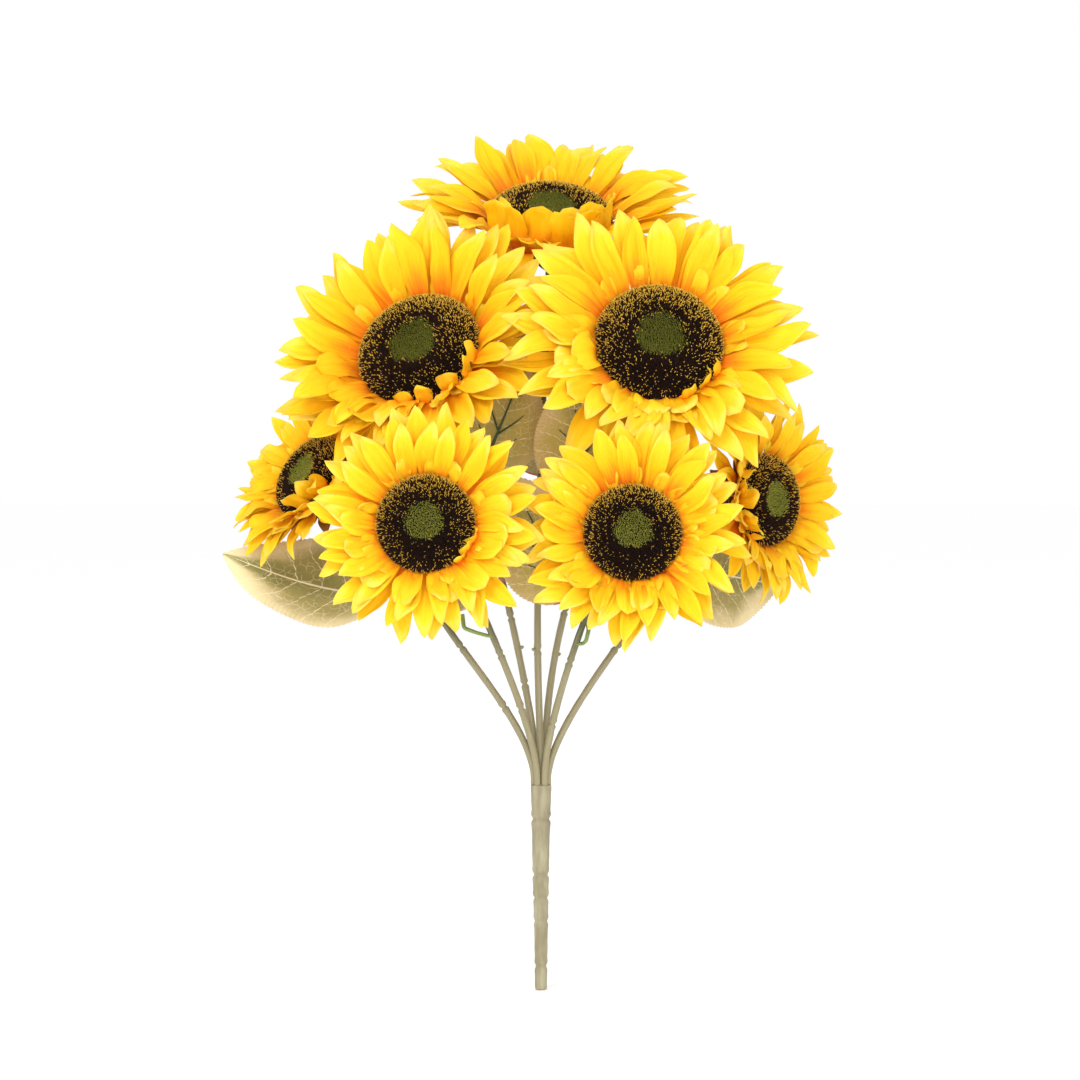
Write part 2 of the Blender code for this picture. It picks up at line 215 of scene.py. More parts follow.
@dataclass(frozen=True)
class LeafPlan:
    """Where one leaf grows, the way it points, and its sizes."""

    name: str
    stem: str  # the bloom whose stem it grows on
    height: float  # where its stalk leaves the stem
    around: float  # degrees round +Z that it points
    rise: float  # degrees that it points up
    tilt: float  # degrees that its face leans to the front
    stalk: float  # length of the stalk
    length: float  # of the blade
    width: float
    droop: float  # degrees that the tip hangs
    fold: float  # degrees that the halves stand up
    twist: float  # degrees that the tip is turned
    khaki: bool = False  # printed in the more golden colours

    def placed(self, path: np.ndarray) -> Matrix:
        """Returns the matrix from the leaf's own frame, +Y along it, to the row frame.

        Args:
            path: points of the stem that it grows on.

        Returns:
            The matrix that sets the leaf's foot at its stem's side.
        """
        around, rise, tilt = (math.radians(angle) for angle in (self.around, self.rise, self.tilt))
        level = math.cos(rise)
        along = Vector((level * math.cos(around), level * math.sin(around), math.sin(rise)))
        leaning = Vector((0.0, -math.sin(tilt), math.cos(tilt)))
        face = (leaning - along * leaning.dot(along)).normalized()
        away = (along - UP * along.z).normalized()
        foot = point_at_height(path, self.height) + away * (STEM_THICK_RADIUS * 0.5)
        matrix = Matrix((along.cross(face), along, face)).transposed().to_4x4()
        matrix.translation = foot
        return matrix


# Name, stem, height, around, rise, tilt, stalk, length, width, droop, fold, twist.
LEAVES = (
    LeafPlan("far_left", "far_left", 0.252, 163, 2, 36, 0.022, 0.116, 0.078, -26, 8, -20),
    LeafPlan("low_right", "far_right", 0.270, 32, -6, 74, 0.004, 0.088, 0.074, 12, 8, 0),
    LeafPlan("centre_low", "lower_right", 0.240, 178, 63, -80, 0.014, 0.090, 0.066, 8, 8, 0, True),
    LeafPlan("centre_pale", "lower_left", 0.272, 40, 62, -80, 0.006, 0.066, 0.046, 24, 8, 0, True),
    LeafPlan("centre_high_left", "upper_left", 0.325, 320, 62, -80, 0.008, 0.084, 0.058, 10, 8, 0, True),
    LeafPlan("centre_high_right", "upper_right", 0.310, 236, 66, -80, 0.008, 0.088, 0.066, 10, 8, 0, True),
    LeafPlan("between_heads", "top", 0.385, 285, 60, 80, 0.006, 0.070, 0.052, 6, 12, 0, True),
    LeafPlan("back_left_low", "far_left", 0.236, 100, 30, -30, 0.010, 0.094, 0.062, 22, 12, 0),
    LeafPlan("back_right_low", "far_right", 0.234, 68, 30, -30, 0.010, 0.094, 0.062, 22, 12, 0),
    LeafPlan("back_left_high", "upper_left", 0.350, 135, 20, -30, 0.010, 0.096, 0.064, 20, 12, 0),
    LeafPlan("back_right_high", "upper_right", 0.355, 50, 20, -30, 0.010, 0.096, 0.064, 20, 12, 0),
    LeafPlan("back_middle", "top", 0.325, 95, 24, -30, 0.010, 0.098, 0.066, 24, 12, 0, True),
    LeafPlan("back_top", "top", 0.410, 80, 20, -40, 0.008, 0.084, 0.058, 26, 12, 0),
    LeafPlan("back_left_inner", "upper_left", 0.265, 98, 40, -40, 0.008, 0.090, 0.060, 22, 12, 0, True),
    LeafPlan("back_right_inner", "upper_right", 0.275, 82, 38, -40, 0.008, 0.090, 0.060, 22, 12, 0, True),
    LeafPlan("side_right", "far_right", 0.298, 110, 42, -30, 0.008, 0.076, 0.054, 20, 12, 0),
    LeafPlan("side_left", "far_left", 0.288, 75, 40, -30, 0.008, 0.076, 0.054, 20, 12, 0),
)


# --------------------------------------------------------------------------------------------------------
# Mesh arrays
# --------------------------------------------------------------------------------------------------------


@dataclass
class MeshArrays:
    """Points, faces and map of a mesh made of many like things."""

    points: list[np.ndarray] = field(default_factory=list)
    faces: list[np.ndarray] = field(default_factory=list)
    uvs: list[np.ndarray] = field(default_factory=list)
    rims: list[np.ndarray] = field(default_factory=list)
    count: int = 0

    def add(self, points: np.ndarray, faces: list[np.ndarray], uvs: np.ndarray, rim: np.ndarray) -> None:
        """Adds a batch of things that share their faces.

        Args:
            points: (things, points, 3) places.
            faces: arrays of point numbers, one array for each number of corners.
            uvs: (things, points, 2) places on the map.
            rim: (points,) true where the thing has a cut edge.
        """
        things, size = points.shape[:2]
        starts = (self.count + size * np.arange(things))[:, None, None]
        for part in faces:
            self.faces.append((starts + part[None]).reshape(-1, part.shape[1]))
        self.points.append(points.reshape(-1, 3))
        self.uvs.append(uvs.reshape(-1, 2))
        self.rims.append(np.tile(rim, things))
        self.count += things * size

    def build(self, name: str) -> bpy.types.Object:
        """Returns a new smooth-shaded object of the arrays, with sharp cut edges."""
        points = np.concatenate(self.points)
        mesh = bpy.data.meshes.new(name)
        mesh.vertices.add(len(points))
        mesh.vertices.foreach_set("co", points.astype(np.float32).ravel())
        corners = np.concatenate([part.ravel() for part in self.faces])
        sizes = np.concatenate([np.full(len(part), part.shape[1]) for part in self.faces])
        mesh.loops.add(len(corners))
        mesh.loops.foreach_set("vertex_index", corners.astype(np.int32))
        mesh.polygons.add(len(sizes))
        mesh.polygons.foreach_set("loop_start", np.concatenate([[0], np.cumsum(sizes)[:-1]]).astype(np.int32))
        mesh.polygons.foreach_set("use_smooth", np.ones(len(sizes), bool))
        mesh.update(calc_edges=True)
        layer = mesh.uv_layers.new(name=UV_NAME)
        layer.data.foreach_set("uv", np.concatenate(self.uvs)[corners].astype(np.float32).ravel())
        ends = np.empty(2 * len(mesh.edges), np.int32)
        mesh.edges.foreach_get("vertices", ends)
        cut = np.concatenate(self.rims)[ends.reshape(-1, 2)].all(axis=1)
        mesh.edges.foreach_set("use_edge_sharp", cut)
        mesh.update()
        thing = bpy.data.objects.new(name, mesh)
        bpy.context.scene.collection.objects.link(thing)
        return thing


def sheet_faces(rows: int, columns: int) -> tuple[list[np.ndarray], np.ndarray]:
    """Returns the faces of a thin closed sheet whose two sides meet at its rim, and which points are rim.

    Args:
        rows: points along the sheet.
        columns: points across it.

    Returns:
        The quads of both sides, and the rim mask.  The front side's points come first, row by row, and the
        back side's inner points follow.
    """
    front = np.arange(rows * columns).reshape(rows, columns)
    inner = np.zeros((rows, columns), bool)
    inner[1:-1, 1:-1] = True
    back = front.copy()
    back[inner] = rows * columns + np.arange(inner.sum())
    quads = [
        np.stack((side[:-1, :-1], side[1:, :-1], side[1:, 1:], side[:-1, 1:]), axis=-1).reshape(-1, 4)
        for side in (front, back)
    ]
    rim = np.concatenate([~inner.ravel(), np.zeros(inner.sum(), bool)])
    return [quads[0], quads[1][:, ::-1]], rim


def sheet_points(grid: np.ndarray, thickness: float) -> np.ndarray:
    """Returns the points of thin closed sheets from their middle surfaces.

    Args:
        grid: (things, rows, columns, 3) middle surfaces.
        thickness: of the cloth.

    Returns:
        (things, points, 3) places in the order of sheet_faces.
    """
    along, across = np.gradient(grid, axis=1), np.gradient(grid, axis=2)
    normal = np.cross(along, across)
    normal /= np.maximum(np.linalg.norm(normal, axis=-1, keepdims=True), TINY)
    front, back = grid.copy(), grid - normal * thickness / 2
    front[:, 1:-1, 1:-1] += normal[:, 1:-1, 1:-1] * thickness / 2
    things = len(grid)
    return np.concatenate([front.reshape(things, -1, 3), back[:, 1:-1, 1:-1].reshape(things, -1, 3)], axis=1)


def sheet_uvs(rows: int, columns: int, tiles: np.ndarray, tile_count: int) -> np.ndarray:
    """Returns the map of thin closed sheets: each lies upright in one column of the map, foot down.

    Args:
        rows: points along the sheet.
        columns: points across it.
        tiles: (things,) column of the map for each thing.
        tile_count: how many columns the map has.

    Returns:
        (things, points, 2) places on the map.
    """
    v, u = np.meshgrid(np.linspace(0.01, 0.99, rows), np.linspace(0.03, 0.97, columns), indexing="ij")
    front = np.stack((u, v), axis=-1)
    flat = np.concatenate([front.reshape(-1, 2), front[1:-1, 1:-1].reshape(-1, 2)])
    uvs = np.repeat(flat[None], len(tiles), axis=0)
    uvs[:, :, 0] = (uvs[:, :, 0] + tiles[:, None]) / tile_count
    return uvs


def move(points: np.ndarray, matrix: Matrix) -> np.ndarray:
    """Returns points moved by a matrix."""
    rows = np.array(matrix)
    return points @ rows[:3, :3].T + rows[:3, 3]


def eased(shares: np.ndarray) -> np.ndarray:
    """Returns shares clipped to 0 to 1 and eased at both ends."""
    kept = np.clip(shares, 0.0, 1.0)
    return kept * kept * (3.0 - 2.0 * kept)


def degrees_apart(around: np.ndarray, towards: float) -> np.ndarray:
    """Returns how many degrees lie between angles in radians and a direction in degrees."""
    return np.abs((np.degrees(around) - towards + 180) % 360 - 180)


def power_outline(shares: np.ndarray, belly: tuple[float, float]) -> np.ndarray:
    """Returns half widths, 1 at the widest, of an outline drawn out by one power at each end."""
    low, high = belly
    widest = low / (low + high)
    fullest = widest**low * (1.0 - widest) ** high
    return shares**low * (1.0 - shares) ** high / fullest


# --------------------------------------------------------------------------------------------------------
# Stem paths
# --------------------------------------------------------------------------------------------------------


def stem_path(plan: BloomPlan, count: int) -> np.ndarray:
    """Returns evenly spaced points of a bloom's stem, from the crown to the back of its calyx.

    Args:
        plan: the bloom that the stem carries.
        count: how many points.

    Returns:
        (count, 3) places.
    """
    around = 0.0 if plan.root is None else math.radians(plan.root)
    out = 0.0 if plan.root is None else STEM_RING_RADIUS
    root = np.array((out * math.cos(around), out * math.sin(around), MAIN_HEIGHT + GAP))
    look = np.array(plan.facing())
    end = np.array(plan.middle) - look * (PETAL_PLATE + 3 * GAP + plan.size.calyx_depth)
    knots = [root + np.array(UP) * STEM_SOCKET, np.array(plan.bend), end - look * STEM_SOCKET]
    tangents = [np.array(UP) * STEM_START_PULL, (knots[2] - knots[0]) / 2, look * STEM_END_PULL]
    s = np.linspace(0, 1, 96)[:, None]
    spans = [
        (2 * s**3 - 3 * s**2 + 1) * knots[i]
        + (s**3 - 2 * s**2 + s) * tangents[i]
        + (3 * s**2 - 2 * s**3) * knots[i + 1]
        + (s**3 - s**2) * tangents[i + 1]
        for i in range(2)
    ]
    dense = np.concatenate([[root], spans[0], spans[1][1:], [end]])
    reached = np.concatenate([[0.0], np.cumsum(np.linalg.norm(np.diff(dense, axis=0), axis=1))])
    even = np.linspace(0, reached[-1], count)
    return np.stack([np.interp(even, reached, dense[:, k]) for k in range(3)], axis=1)


def point_at_height(path: np.ndarray, height: float) -> Vector:
    """Returns the first point of a stem's path at a height."""
    above = int(np.argmax(path[:, 2] >= height))
    below = max(above - 1, 0)
    rise = path[above, 2] - path[below, 2]
    share = (height - path[below, 2]) / rise if rise > 1e-9 else 0.0
    return Vector(path[below] + (path[above] - path[below]) * share)


def tube(path: np.ndarray, radii: np.ndarray, sides: int, tile: float = 0.0, tiles: int = 1,
         reach: tuple[float, float] = (0.01, 0.99)) -> tuple:
    """Returns the arrays of a closed round bar along a path.

    Args:
        path: (points, 3) middle line.
        radii: (points,) or (points, sides) radii.
        sides: points round each ring.
        tile: column of the map that the bar lies in.
        tiles: how many columns the map has.
        reach: where the bar starts and ends in its column.

    Returns:
        Points, faces, map and rim mask, as MeshArrays.add takes them.
    """
    radii = np.broadcast_to(radii if radii.ndim == 2 else radii[:, None], (len(path), sides))
    ahead = np.gradient(path, axis=0)
    ahead /= np.linalg.norm(ahead, axis=1, keepdims=True)
    side = np.cross(ahead[0], (0.0, 1.0, 0.0))
    if np.linalg.norm(side) < 0.1:
        side = np.cross(ahead[0], (1.0, 0.0, 0.0))
    sideways = []
    for direction in ahead:
        side = side - direction * np.dot(side, direction)
        side = side / np.linalg.norm(side)
        sideways.append(side)
    sideways = np.array(sideways)
    upwards = np.cross(ahead, sideways)
    turn = 2 * math.pi * np.arange(sides) / sides
    rings = (
        path[:, None]
        + (np.cos(turn)[None, :, None] * sideways[:, None] + np.sin(turn)[None, :, None] * upwards[:, None])
        * radii[..., None]
    )
    points = np.concatenate([rings.reshape(-1, 3), path[:1], path[-1:]])
    ring = np.arange(len(path) * sides).reshape(len(path), sides)
    following = np.roll(ring, -1, axis=1)
    wall = np.stack((ring[:-1], following[:-1], following[1:], ring[1:]), axis=-1).reshape(-1, 4)
    first, last = len(points) - 2, len(points) - 1
    caps = np.concatenate([
        np.stack((following[0], ring[0], np.full(sides, first)), axis=-1),
        np.stack((ring[-1], following[-1], np.full(sides, last)), axis=-1),
    ])
    u = (0.04 + 0.92 * np.abs(1 - 2 * np.arange(sides) / sides) + tile) / tiles
    v = np.linspace(*reach, len(path))
    uvs = np.stack(np.broadcast_arrays(u[None, :], v[:, None]), axis=-1).reshape(-1, 2)
    middle = (tile + 0.5) / tiles
    uvs = np.concatenate([uvs, [[middle, reach[0]], [middle, reach[1]]]])
    return points[None], [wall, caps], uvs[None], np.zeros(len(points), bool)


# --------------------------------------------------------------------------------------------------------
# Finishes
# --------------------------------------------------------------------------------------------------------


class NodeBook:
    """A small hand for laying out shader nodes in a material or a node group."""

    def __init__(self, tree: bpy.types.NodeTree) -> None:
        """Keeps the tree that the nodes go into."""
        self.tree = tree

    def node(self, kind: str, **settings: object) -> bpy.types.Node:
        """Returns a new node of a kind, with its settings."""
        made = self.tree.nodes.new(kind)
        for key, value in settings.items():
            setattr(made, key, value)
        return made

    def put(self, socket: bpy.types.NodeSocket, value: object) -> None:
        """Links an output to a socket, or sets the socket's own value."""
        if isinstance(value, bpy.types.NodeSocket):
            self.tree.links.new(value, socket)
        else:
            socket.default_value = value

    def math(self, operation: str, *values: object) -> bpy.types.NodeSocket:
        """Returns the output of a Math node."""
        made = self.node("ShaderNodeMath", operation=operation)
        for socket, value in zip(made.inputs, values):
            self.put(socket, value)
        return made.outputs[0]

    def plus(self, first: object, second: object) -> bpy.types.NodeSocket:
        """Returns the sum of two values."""
        return self.math("ADD", first, second)

    def times(self, first: object, second: object) -> bpy.types.NodeSocket:
        """Returns the product of two values."""
        return self.math("MULTIPLY", first, second)

    def times_plus(self, value: object, factor: object, offset: object) -> bpy.types.NodeSocket:
        """Returns a value times a factor, plus an offset."""
        return self.math("MULTIPLY_ADD", value, factor, offset)

    def rest(self, share: object) -> bpy.types.NodeSocket:
        """Returns what a share leaves of one."""
        return self.math("SUBTRACT", 1.0, share)

    def mix(self, share: object, first: object, second: object) -> bpy.types.NodeSocket:
        """Returns the colour between two colours."""
        made = self.node("ShaderNodeMix", data_type="RGBA")
        self.put(made.inputs[0], share)
        for socket, value in zip(made.inputs[6:8], (first, second)):
            self.put(socket, (*value, 1.0) if isinstance(value, tuple) else value)
        return made.outputs[2]

    def ramp(self, value: object, low: float, high: float) -> bpy.types.NodeSocket:
        """Returns 0 to 1 as a value goes from low to high, eased."""
        made = self.node("ShaderNodeMapRange", interpolation_type="SMOOTHSTEP")
        self.put(made.inputs["Value"], value)
        made.inputs["From Min"].default_value = low
        made.inputs["From Max"].default_value = high
        return made.outputs[0]

    def stops(self, value: object, stops: tuple[tuple[float, Colour], ...]) -> bpy.types.NodeSocket:
        """Returns the colour of a ramp at a value."""
        made = self.node("ShaderNodeValToRGB")
        ramp = made.color_ramp
        while len(ramp.elements) < len(stops):
            ramp.elements.new(0.5)
        for element, (place, colour) in zip(ramp.elements, stops):
            element.position = place
            element.color = (*colour, 1.0)
        self.put(made.inputs[0], value)
        return made.outputs[0]

    def noise(self, vector: object, scale: float, detail: float = 2.0) -> bpy.types.NodeSocket:
        """Returns a noise value about 0.5."""
        made = self.node("ShaderNodeTexNoise")
        self.put(made.inputs["Vector"], vector)
        made.inputs["Scale"].default_value = scale
        made.inputs["Detail"].default_value = detail
        return made.outputs["Fac"]

    def scaled(self, vector: object, scale: tuple[float, float, float]) -> bpy.types.NodeSocket:
        """Returns a vector stretched by a scale."""
        made = self.node("ShaderNodeMapping")
        self.put(made.inputs["Vector"], vector)
        made.inputs["Scale"].default_value = scale
        return made.outputs[0]

    def group(self, tree: bpy.types.NodeTree, **inputs: object) -> bpy.types.Node:
        """Returns a group node with its inputs set, spaces in names written as underscores."""
        made = self.node("ShaderNodeGroup", node_tree=tree)
        for key, value in inputs.items():
            self.put(made.inputs[key.replace("_", " ")], value)
        return made


class Groups:
    """The shader node groups that several finishes share, each built once."""

    def __init__(self) -> None:
        """Builds the groups."""
        self.blade = self._blade()
        self.weave = self._weave()

    @staticmethod
    def _new(name: str, inputs: tuple, outputs: tuple
             ) -> tuple[bpy.types.NodeTree, bpy.types.Node, bpy.types.Node]:
        """Returns a new group with its sockets, its input node and its output node."""
        tree = bpy.data.node_groups.new(name, "ShaderNodeTree")
        for socket, kind, value in inputs:
            made = tree.interface.new_socket(socket, in_out="INPUT", socket_type=kind)
            if value is not None:
                made.default_value = value
        for socket, kind in outputs:
            tree.interface.new_socket(socket, in_out="OUTPUT", socket_type=kind)
        return tree, tree.nodes.new("NodeGroupInput"), tree.nodes.new("NodeGroupOutput")

    def _blade(self) -> bpy.types.NodeTree:
        """Returns the group that reads where a point lies on its own blade and which tint the blade has."""
        tree, given, result = self._new(
            "place_on_blade",
            (("Map", "NodeSocketVector", None), ("Tiles", "NodeSocketFloat", 8.0)),
            (("Across", "NodeSocketFloat"), ("Along", "NodeSocketFloat"), ("Tint", "NodeSocketFloat"),
             ("Grain", "NodeSocketVector")),
        )
        book = NodeBook(tree)
        split = book.node("ShaderNodeSeparateXYZ")
        book.put(split.inputs[0], given.outputs["Map"])
        column = book.times(split.outputs[0], given.outputs["Tiles"])
        whole = book.math("FLOOR", column)
        across = book.math("FRACT", column)
        dealt = book.node("ShaderNodeTexWhiteNoise", noise_dimensions="1D")
        book.put(dealt.inputs["W"], book.plus(whole, 0.37))
        grain = book.node("ShaderNodeCombineXYZ")
        for socket, value in zip(grain.inputs, (across, split.outputs[1], book.times(whole, 3.7))):
            book.put(socket, value)
        found = (across, split.outputs[1], dealt.outputs["Value"], grain.outputs[0])
        for socket, value in zip(result.inputs, found):
            book.put(socket, value)
        return tree

    def _weave(self) -> bpy.types.NodeTree:
        """Returns the group of a plain woven cloth's relief."""
        tree, given, result = self._new(
            "plain_weave",
            (("Grain", "NodeSocketVector", None), ("Warp", "NodeSocketFloat", 60.0),
             ("Weft", "NodeSocketFloat", 180.0)),
            (("Height", "NodeSocketFloat"),),
        )
        book = NodeBook(tree)
        split = book.node("ShaderNodeSeparateXYZ")
        book.put(split.inputs[0], given.outputs["Grain"])
        waves = []
        for output, threads in zip(split.outputs, ("Warp", "Weft")):
            turns = book.times(output, given.outputs[threads])
            waves.append(book.math("SINE", book.times(turns, 2 * math.pi)))
        book.put(result.inputs[0], book.times_plus(book.times(*waves), 0.5, 0.5))
        return tree


@dataclass(frozen=True)
class Finish:
    """What every finish sets on the shader's own sockets."""

    name: str
    roughness: float = 0.6
    sheen: float = 0.0
    specular: float = 0.5
    tiles: int = TILES

    def start(self) -> tuple[bpy.types.Material, NodeBook, bpy.types.Node]:
        """Returns a new material, its node book and its shader, with the plain sockets set."""
        material = bpy.data.materials.new(self.name)
        material.use_nodes = True
        shader = material.node_tree.nodes["Principled BSDF"]
        shader.inputs["Roughness"].default_value = self.roughness
        shader.inputs["Sheen Weight"].default_value = self.sheen
        shader.inputs["Specular IOR Level"].default_value = self.specular
        return material, NodeBook(material.node_tree), shader

    def blade(self, book: NodeBook, groups: Groups) -> bpy.types.Node:
        """Returns the group node that tells where a point lies on its blade."""
        uv = book.node("ShaderNodeUVMap", uv_map=UV_NAME)
        return book.group(groups.blade, Map=uv.outputs[0], Tiles=float(self.tiles))

    @staticmethod
    def relief(book: NodeBook, shader: bpy.types.Node, height: object, distance: float,
               strength: float) -> None:
        """Feeds a height to the shader's normal through a Bump node."""
        bump = book.node("ShaderNodeBump")
        bump.inputs["Distance"].default_value = distance
        bump.inputs["Strength"].default_value = strength
        book.put(bump.inputs["Height"], height)
        book.put(shader.inputs["Normal"], bump.outputs[0])


@dataclass(frozen=True)
class PetalCloth(Finish):
    """Petal cloth: lemon tips, gold middle and orange foot, with drawn-out streaks. The foot's orange is dye
    deepened by painted shade where the petals crowd at the disc, the streaks are painted shade in the
    creases, and the palest tips are partly a painted highlight.
    """

    # The foot and low colours are orange dye, deepened as painted shade where the petals crowd and overlap at
    # the disc.
    foot: Colour = (0.84, 0.100, 0.002)
    low: Colour = (0.98, 0.235, 0.002)
    middle: Colour = (1.0, 0.490, 0.002)
    tip: Colour = (1.0, 0.630, 0.016)
    # The pale tip is the lemon cloth, brightened in part as a painted highlight.
    pale: Colour = (1.0, 0.680, 0.080)
    foot_reach: float = 0.41
    glow: float = 0.22  # share of the light that passes through the cloth

    def make(self, groups: Groups) -> bpy.types.Material:
        """Returns the material."""
        material, book, shader = self.start()
        place = self.blade(book, groups)
        streaks = book.noise(book.scaled(place.outputs["Grain"], (14.0, 1.6, 1.0)), 1.0, 3.0)
        blotch = book.noise(book.scaled(place.outputs["Grain"], (2.0, 3.0, 1.0)), 1.0, 1.0)
        # Orange streaks along the creases are painted shade: the streaks' low places, the relief's valleys,
        # shift the colour towards the foot.
        shift = book.times_plus(streaks, 0.34, -0.17)
        dealt = book.times_plus(place.outputs["Tint"], 0.20, -0.10)
        out = book.math("ABSOLUTE", book.times_plus(place.outputs["Across"], 2.0, -1.0))
        along = book.plus(place.outputs["Along"], book.plus(shift, dealt))
        along = book.plus(along, book.times(out, 0.10))
        reach = self.foot_reach
        # From the orange foot, partly painted shade, to the pale tip, partly a painted highlight.
        colour = book.stops(along, (
            (0.02, self.foot), (reach * 0.55, self.low), (reach * 1.2, self.middle), (reach * 2.1, self.tip),
            (0.96, self.pale),
        ))
        colour = book.mix(book.times(book.ramp(blotch, 0.48, 0.72), 0.45), colour, self.middle)
        book.put(shader.inputs["Base Color"], colour)
        weave = book.group(groups.weave, Grain=place.outputs["Grain"], Warp=46.0, Weft=150.0)
        height = book.times_plus(streaks, 1.0, book.times(weave.outputs[0], 0.10))
        self.relief(book, shader, height, 0.0012, 0.6)
        book.put(shader.inputs["Roughness"], book.times_plus(streaks, 0.16, self.roughness - 0.08))
        shader.inputs["Subsurface Weight"].default_value = self.glow
        shader.inputs["Subsurface Radius"].default_value = (1.0, 0.60, 0.15)
        shader.inputs["Subsurface Scale"].default_value = 0.004
        return material


@dataclass(frozen=True)
class BristleFlock(Finish):
    """Short stiff pile: one plain dyed colour, darker towards the root where painted shade stands for the
    depth of the pile, lighter at the tip, on the gold flecks partly a painted highlight, and a little lighter
    or darker by tuft.
    """

    # root: painted shade, deep in the pile at the bristles' feet.
    root: Colour = (0.010, 0.005, 0.004)
    colour: Colour = (0.036, 0.017, 0.012)
    tip: Colour = (0.095, 0.048, 0.026)
    tip_from: float = 0.6
    unevenness: float = 0.5

    def make(self, groups: Groups) -> bpy.types.Material:
        """Returns the material."""
        material, book, shader = self.start()
        place = self.blade(book, groups)
        # Darker towards the root: painted shade deep in the pile.
        stops = ((0.0, self.root), (self.tip_from, self.colour), (1.0, self.tip))
        colour = book.stops(place.outputs["Along"], stops)
        darker = book.mix(book.times(place.outputs["Tint"], self.unevenness), colour, self.root)
        book.put(shader.inputs["Base Color"], darker)
        return material


@dataclass(frozen=True)
class LeafPrint(Finish):
    """Printed leaf cloth: a tan edge that turns olive round cream veins, red where the stalk joins."""

    edge: Colour = (0.80, 0.68, 0.38)
    olive: Colour = (0.360, 0.310, 0.100)
    deep: Colour = (0.185, 0.190, 0.052)
    vein: Colour = (0.88, 0.80, 0.52)
    joint: Colour = (0.52, 0.085, 0.060)
    edge_from: float = 0.44

    def make(self, groups: Groups) -> bpy.types.Material:
        """Returns the material."""
        material, book, shader = self.start()
        place = self.blade(book, groups)
        along, grain = place.outputs["Along"], place.outputs["Grain"]
        out = book.math("ABSOLUTE", book.times_plus(place.outputs["Across"], 2.0, -1.0))
        wander = book.times_plus(book.noise(grain, 5.0, 3.0), 0.50, -0.25)
        tipward = book.times(book.ramp(along, 0.45, 1.0), 0.55)
        margin = book.plus(book.plus(out, tipward), wander)
        base = book.mix(book.ramp(margin, self.edge_from, self.edge_from + 0.55), self.olive, self.edge)
        core = book.rest(book.ramp(book.plus(out, wander), 0.05, 0.45))
        base = book.mix(book.times(core, 0.6), base, self.deep)
        fade = book.rest(book.times(book.ramp(margin, 0.75, 1.2), 0.8))
        lines = book.times(self.lines(book, along, out, grain), fade)
        colour = book.mix(lines, base, self.vein)
        colour = book.mix(book.rest(book.ramp(along, 0.015, 0.05)), colour, self.joint)
        book.put(shader.inputs["Base Color"], colour)
        weave = book.group(groups.weave, Grain=grain, Warp=170.0, Weft=220.0)
        height = book.times_plus(lines, 1.0, book.times(weave.outputs[0], 0.25))
        self.relief(book, shader, height, 0.0004, 0.6)
        return material

    def lines(self, book: NodeBook, along: object, out: object, grain: object) -> bpy.types.NodeSocket:
        """Returns how much of a vein there is: midrib, side veins and the fine net between them.

        Args:
            book: where the nodes go.
            along: share of the way from the stalk to the tip.
            out: share of the way from the midrib to the edge.
            grain: place on the blade.

        Returns:
            0 off the veins and 1 on them.
        """
        midrib = book.rest(book.ramp(out, 0.008, 0.026))
        swept = book.math("SUBTRACT", along, book.times(book.math("POWER", out, 1.25), VEIN_SWEEP))
        bent = book.times_plus(book.noise(grain, 3.5, 2.0), 0.11, -0.035)
        phase = book.math("FRACT", book.times(book.plus(swept, bent), SIDE_VEINS))
        offset = book.math("ABSOLUTE", book.math("SUBTRACT", phase, 0.5))
        side_veins = book.times(book.ramp(offset, 0.468, 0.492), 0.85)
        soft = book.node("ShaderNodeTexNoise")
        book.put(soft.inputs["Vector"], grain)
        soft.inputs["Scale"].default_value = 7.0
        warped = book.node("ShaderNodeVectorMath", operation="ADD")
        book.put(warped.inputs[0], book.scaled(grain, (13.0, 22.0, 1.0)))
        book.put(warped.inputs[1], soft.outputs["Color"])
        net = book.node("ShaderNodeTexVoronoi", feature="DISTANCE_TO_EDGE")
        book.put(net.inputs["Vector"], warped.outputs[0])
        net.inputs["Scale"].default_value = 1.0
        threads = book.rest(book.ramp(net.outputs["Distance"], 0.004, 0.070))
        shown = book.times(book.ramp(soft.outputs["Fac"], 0.30, 0.60), 0.42)
        fine = book.times(threads, shown)
        return book.math("MAXIMUM", book.math("MAXIMUM", side_veins, midrib), fine)


@dataclass(frozen=True)
class SepalCloth(Finish):
    """Sepal cloth: amber brown, olive at the foot and red brown here and there."""

    foot: Colour = (0.100, 0.085, 0.020)
    amber: Colour = (0.330, 0.165, 0.030)
    russet: Colour = (0.220, 0.055, 0.020)

    def make(self, groups: Groups) -> bpy.types.Material:
        """Returns the material."""
        material, book, shader = self.start()
        place = self.blade(book, groups)
        streaks = book.noise(book.scaled(place.outputs["Grain"], (10.0, 1.8, 1.0)), 1.0, 3.0)
        along = book.plus(place.outputs["Along"], book.times_plus(streaks, 0.5, -0.25))
        colour = book.mix(book.ramp(along, 0.05, 0.45), self.foot, self.amber)
        red = book.times(book.ramp(place.outputs["Tint"], 0.45, 0.9), book.ramp(along, 0.3, 0.9))
        colour = book.mix(red, colour, self.russet)
        book.put(shader.inputs["Base Color"], colour)
        self.relief(book, shader, streaks, 0.0005, 0.5)
        return material


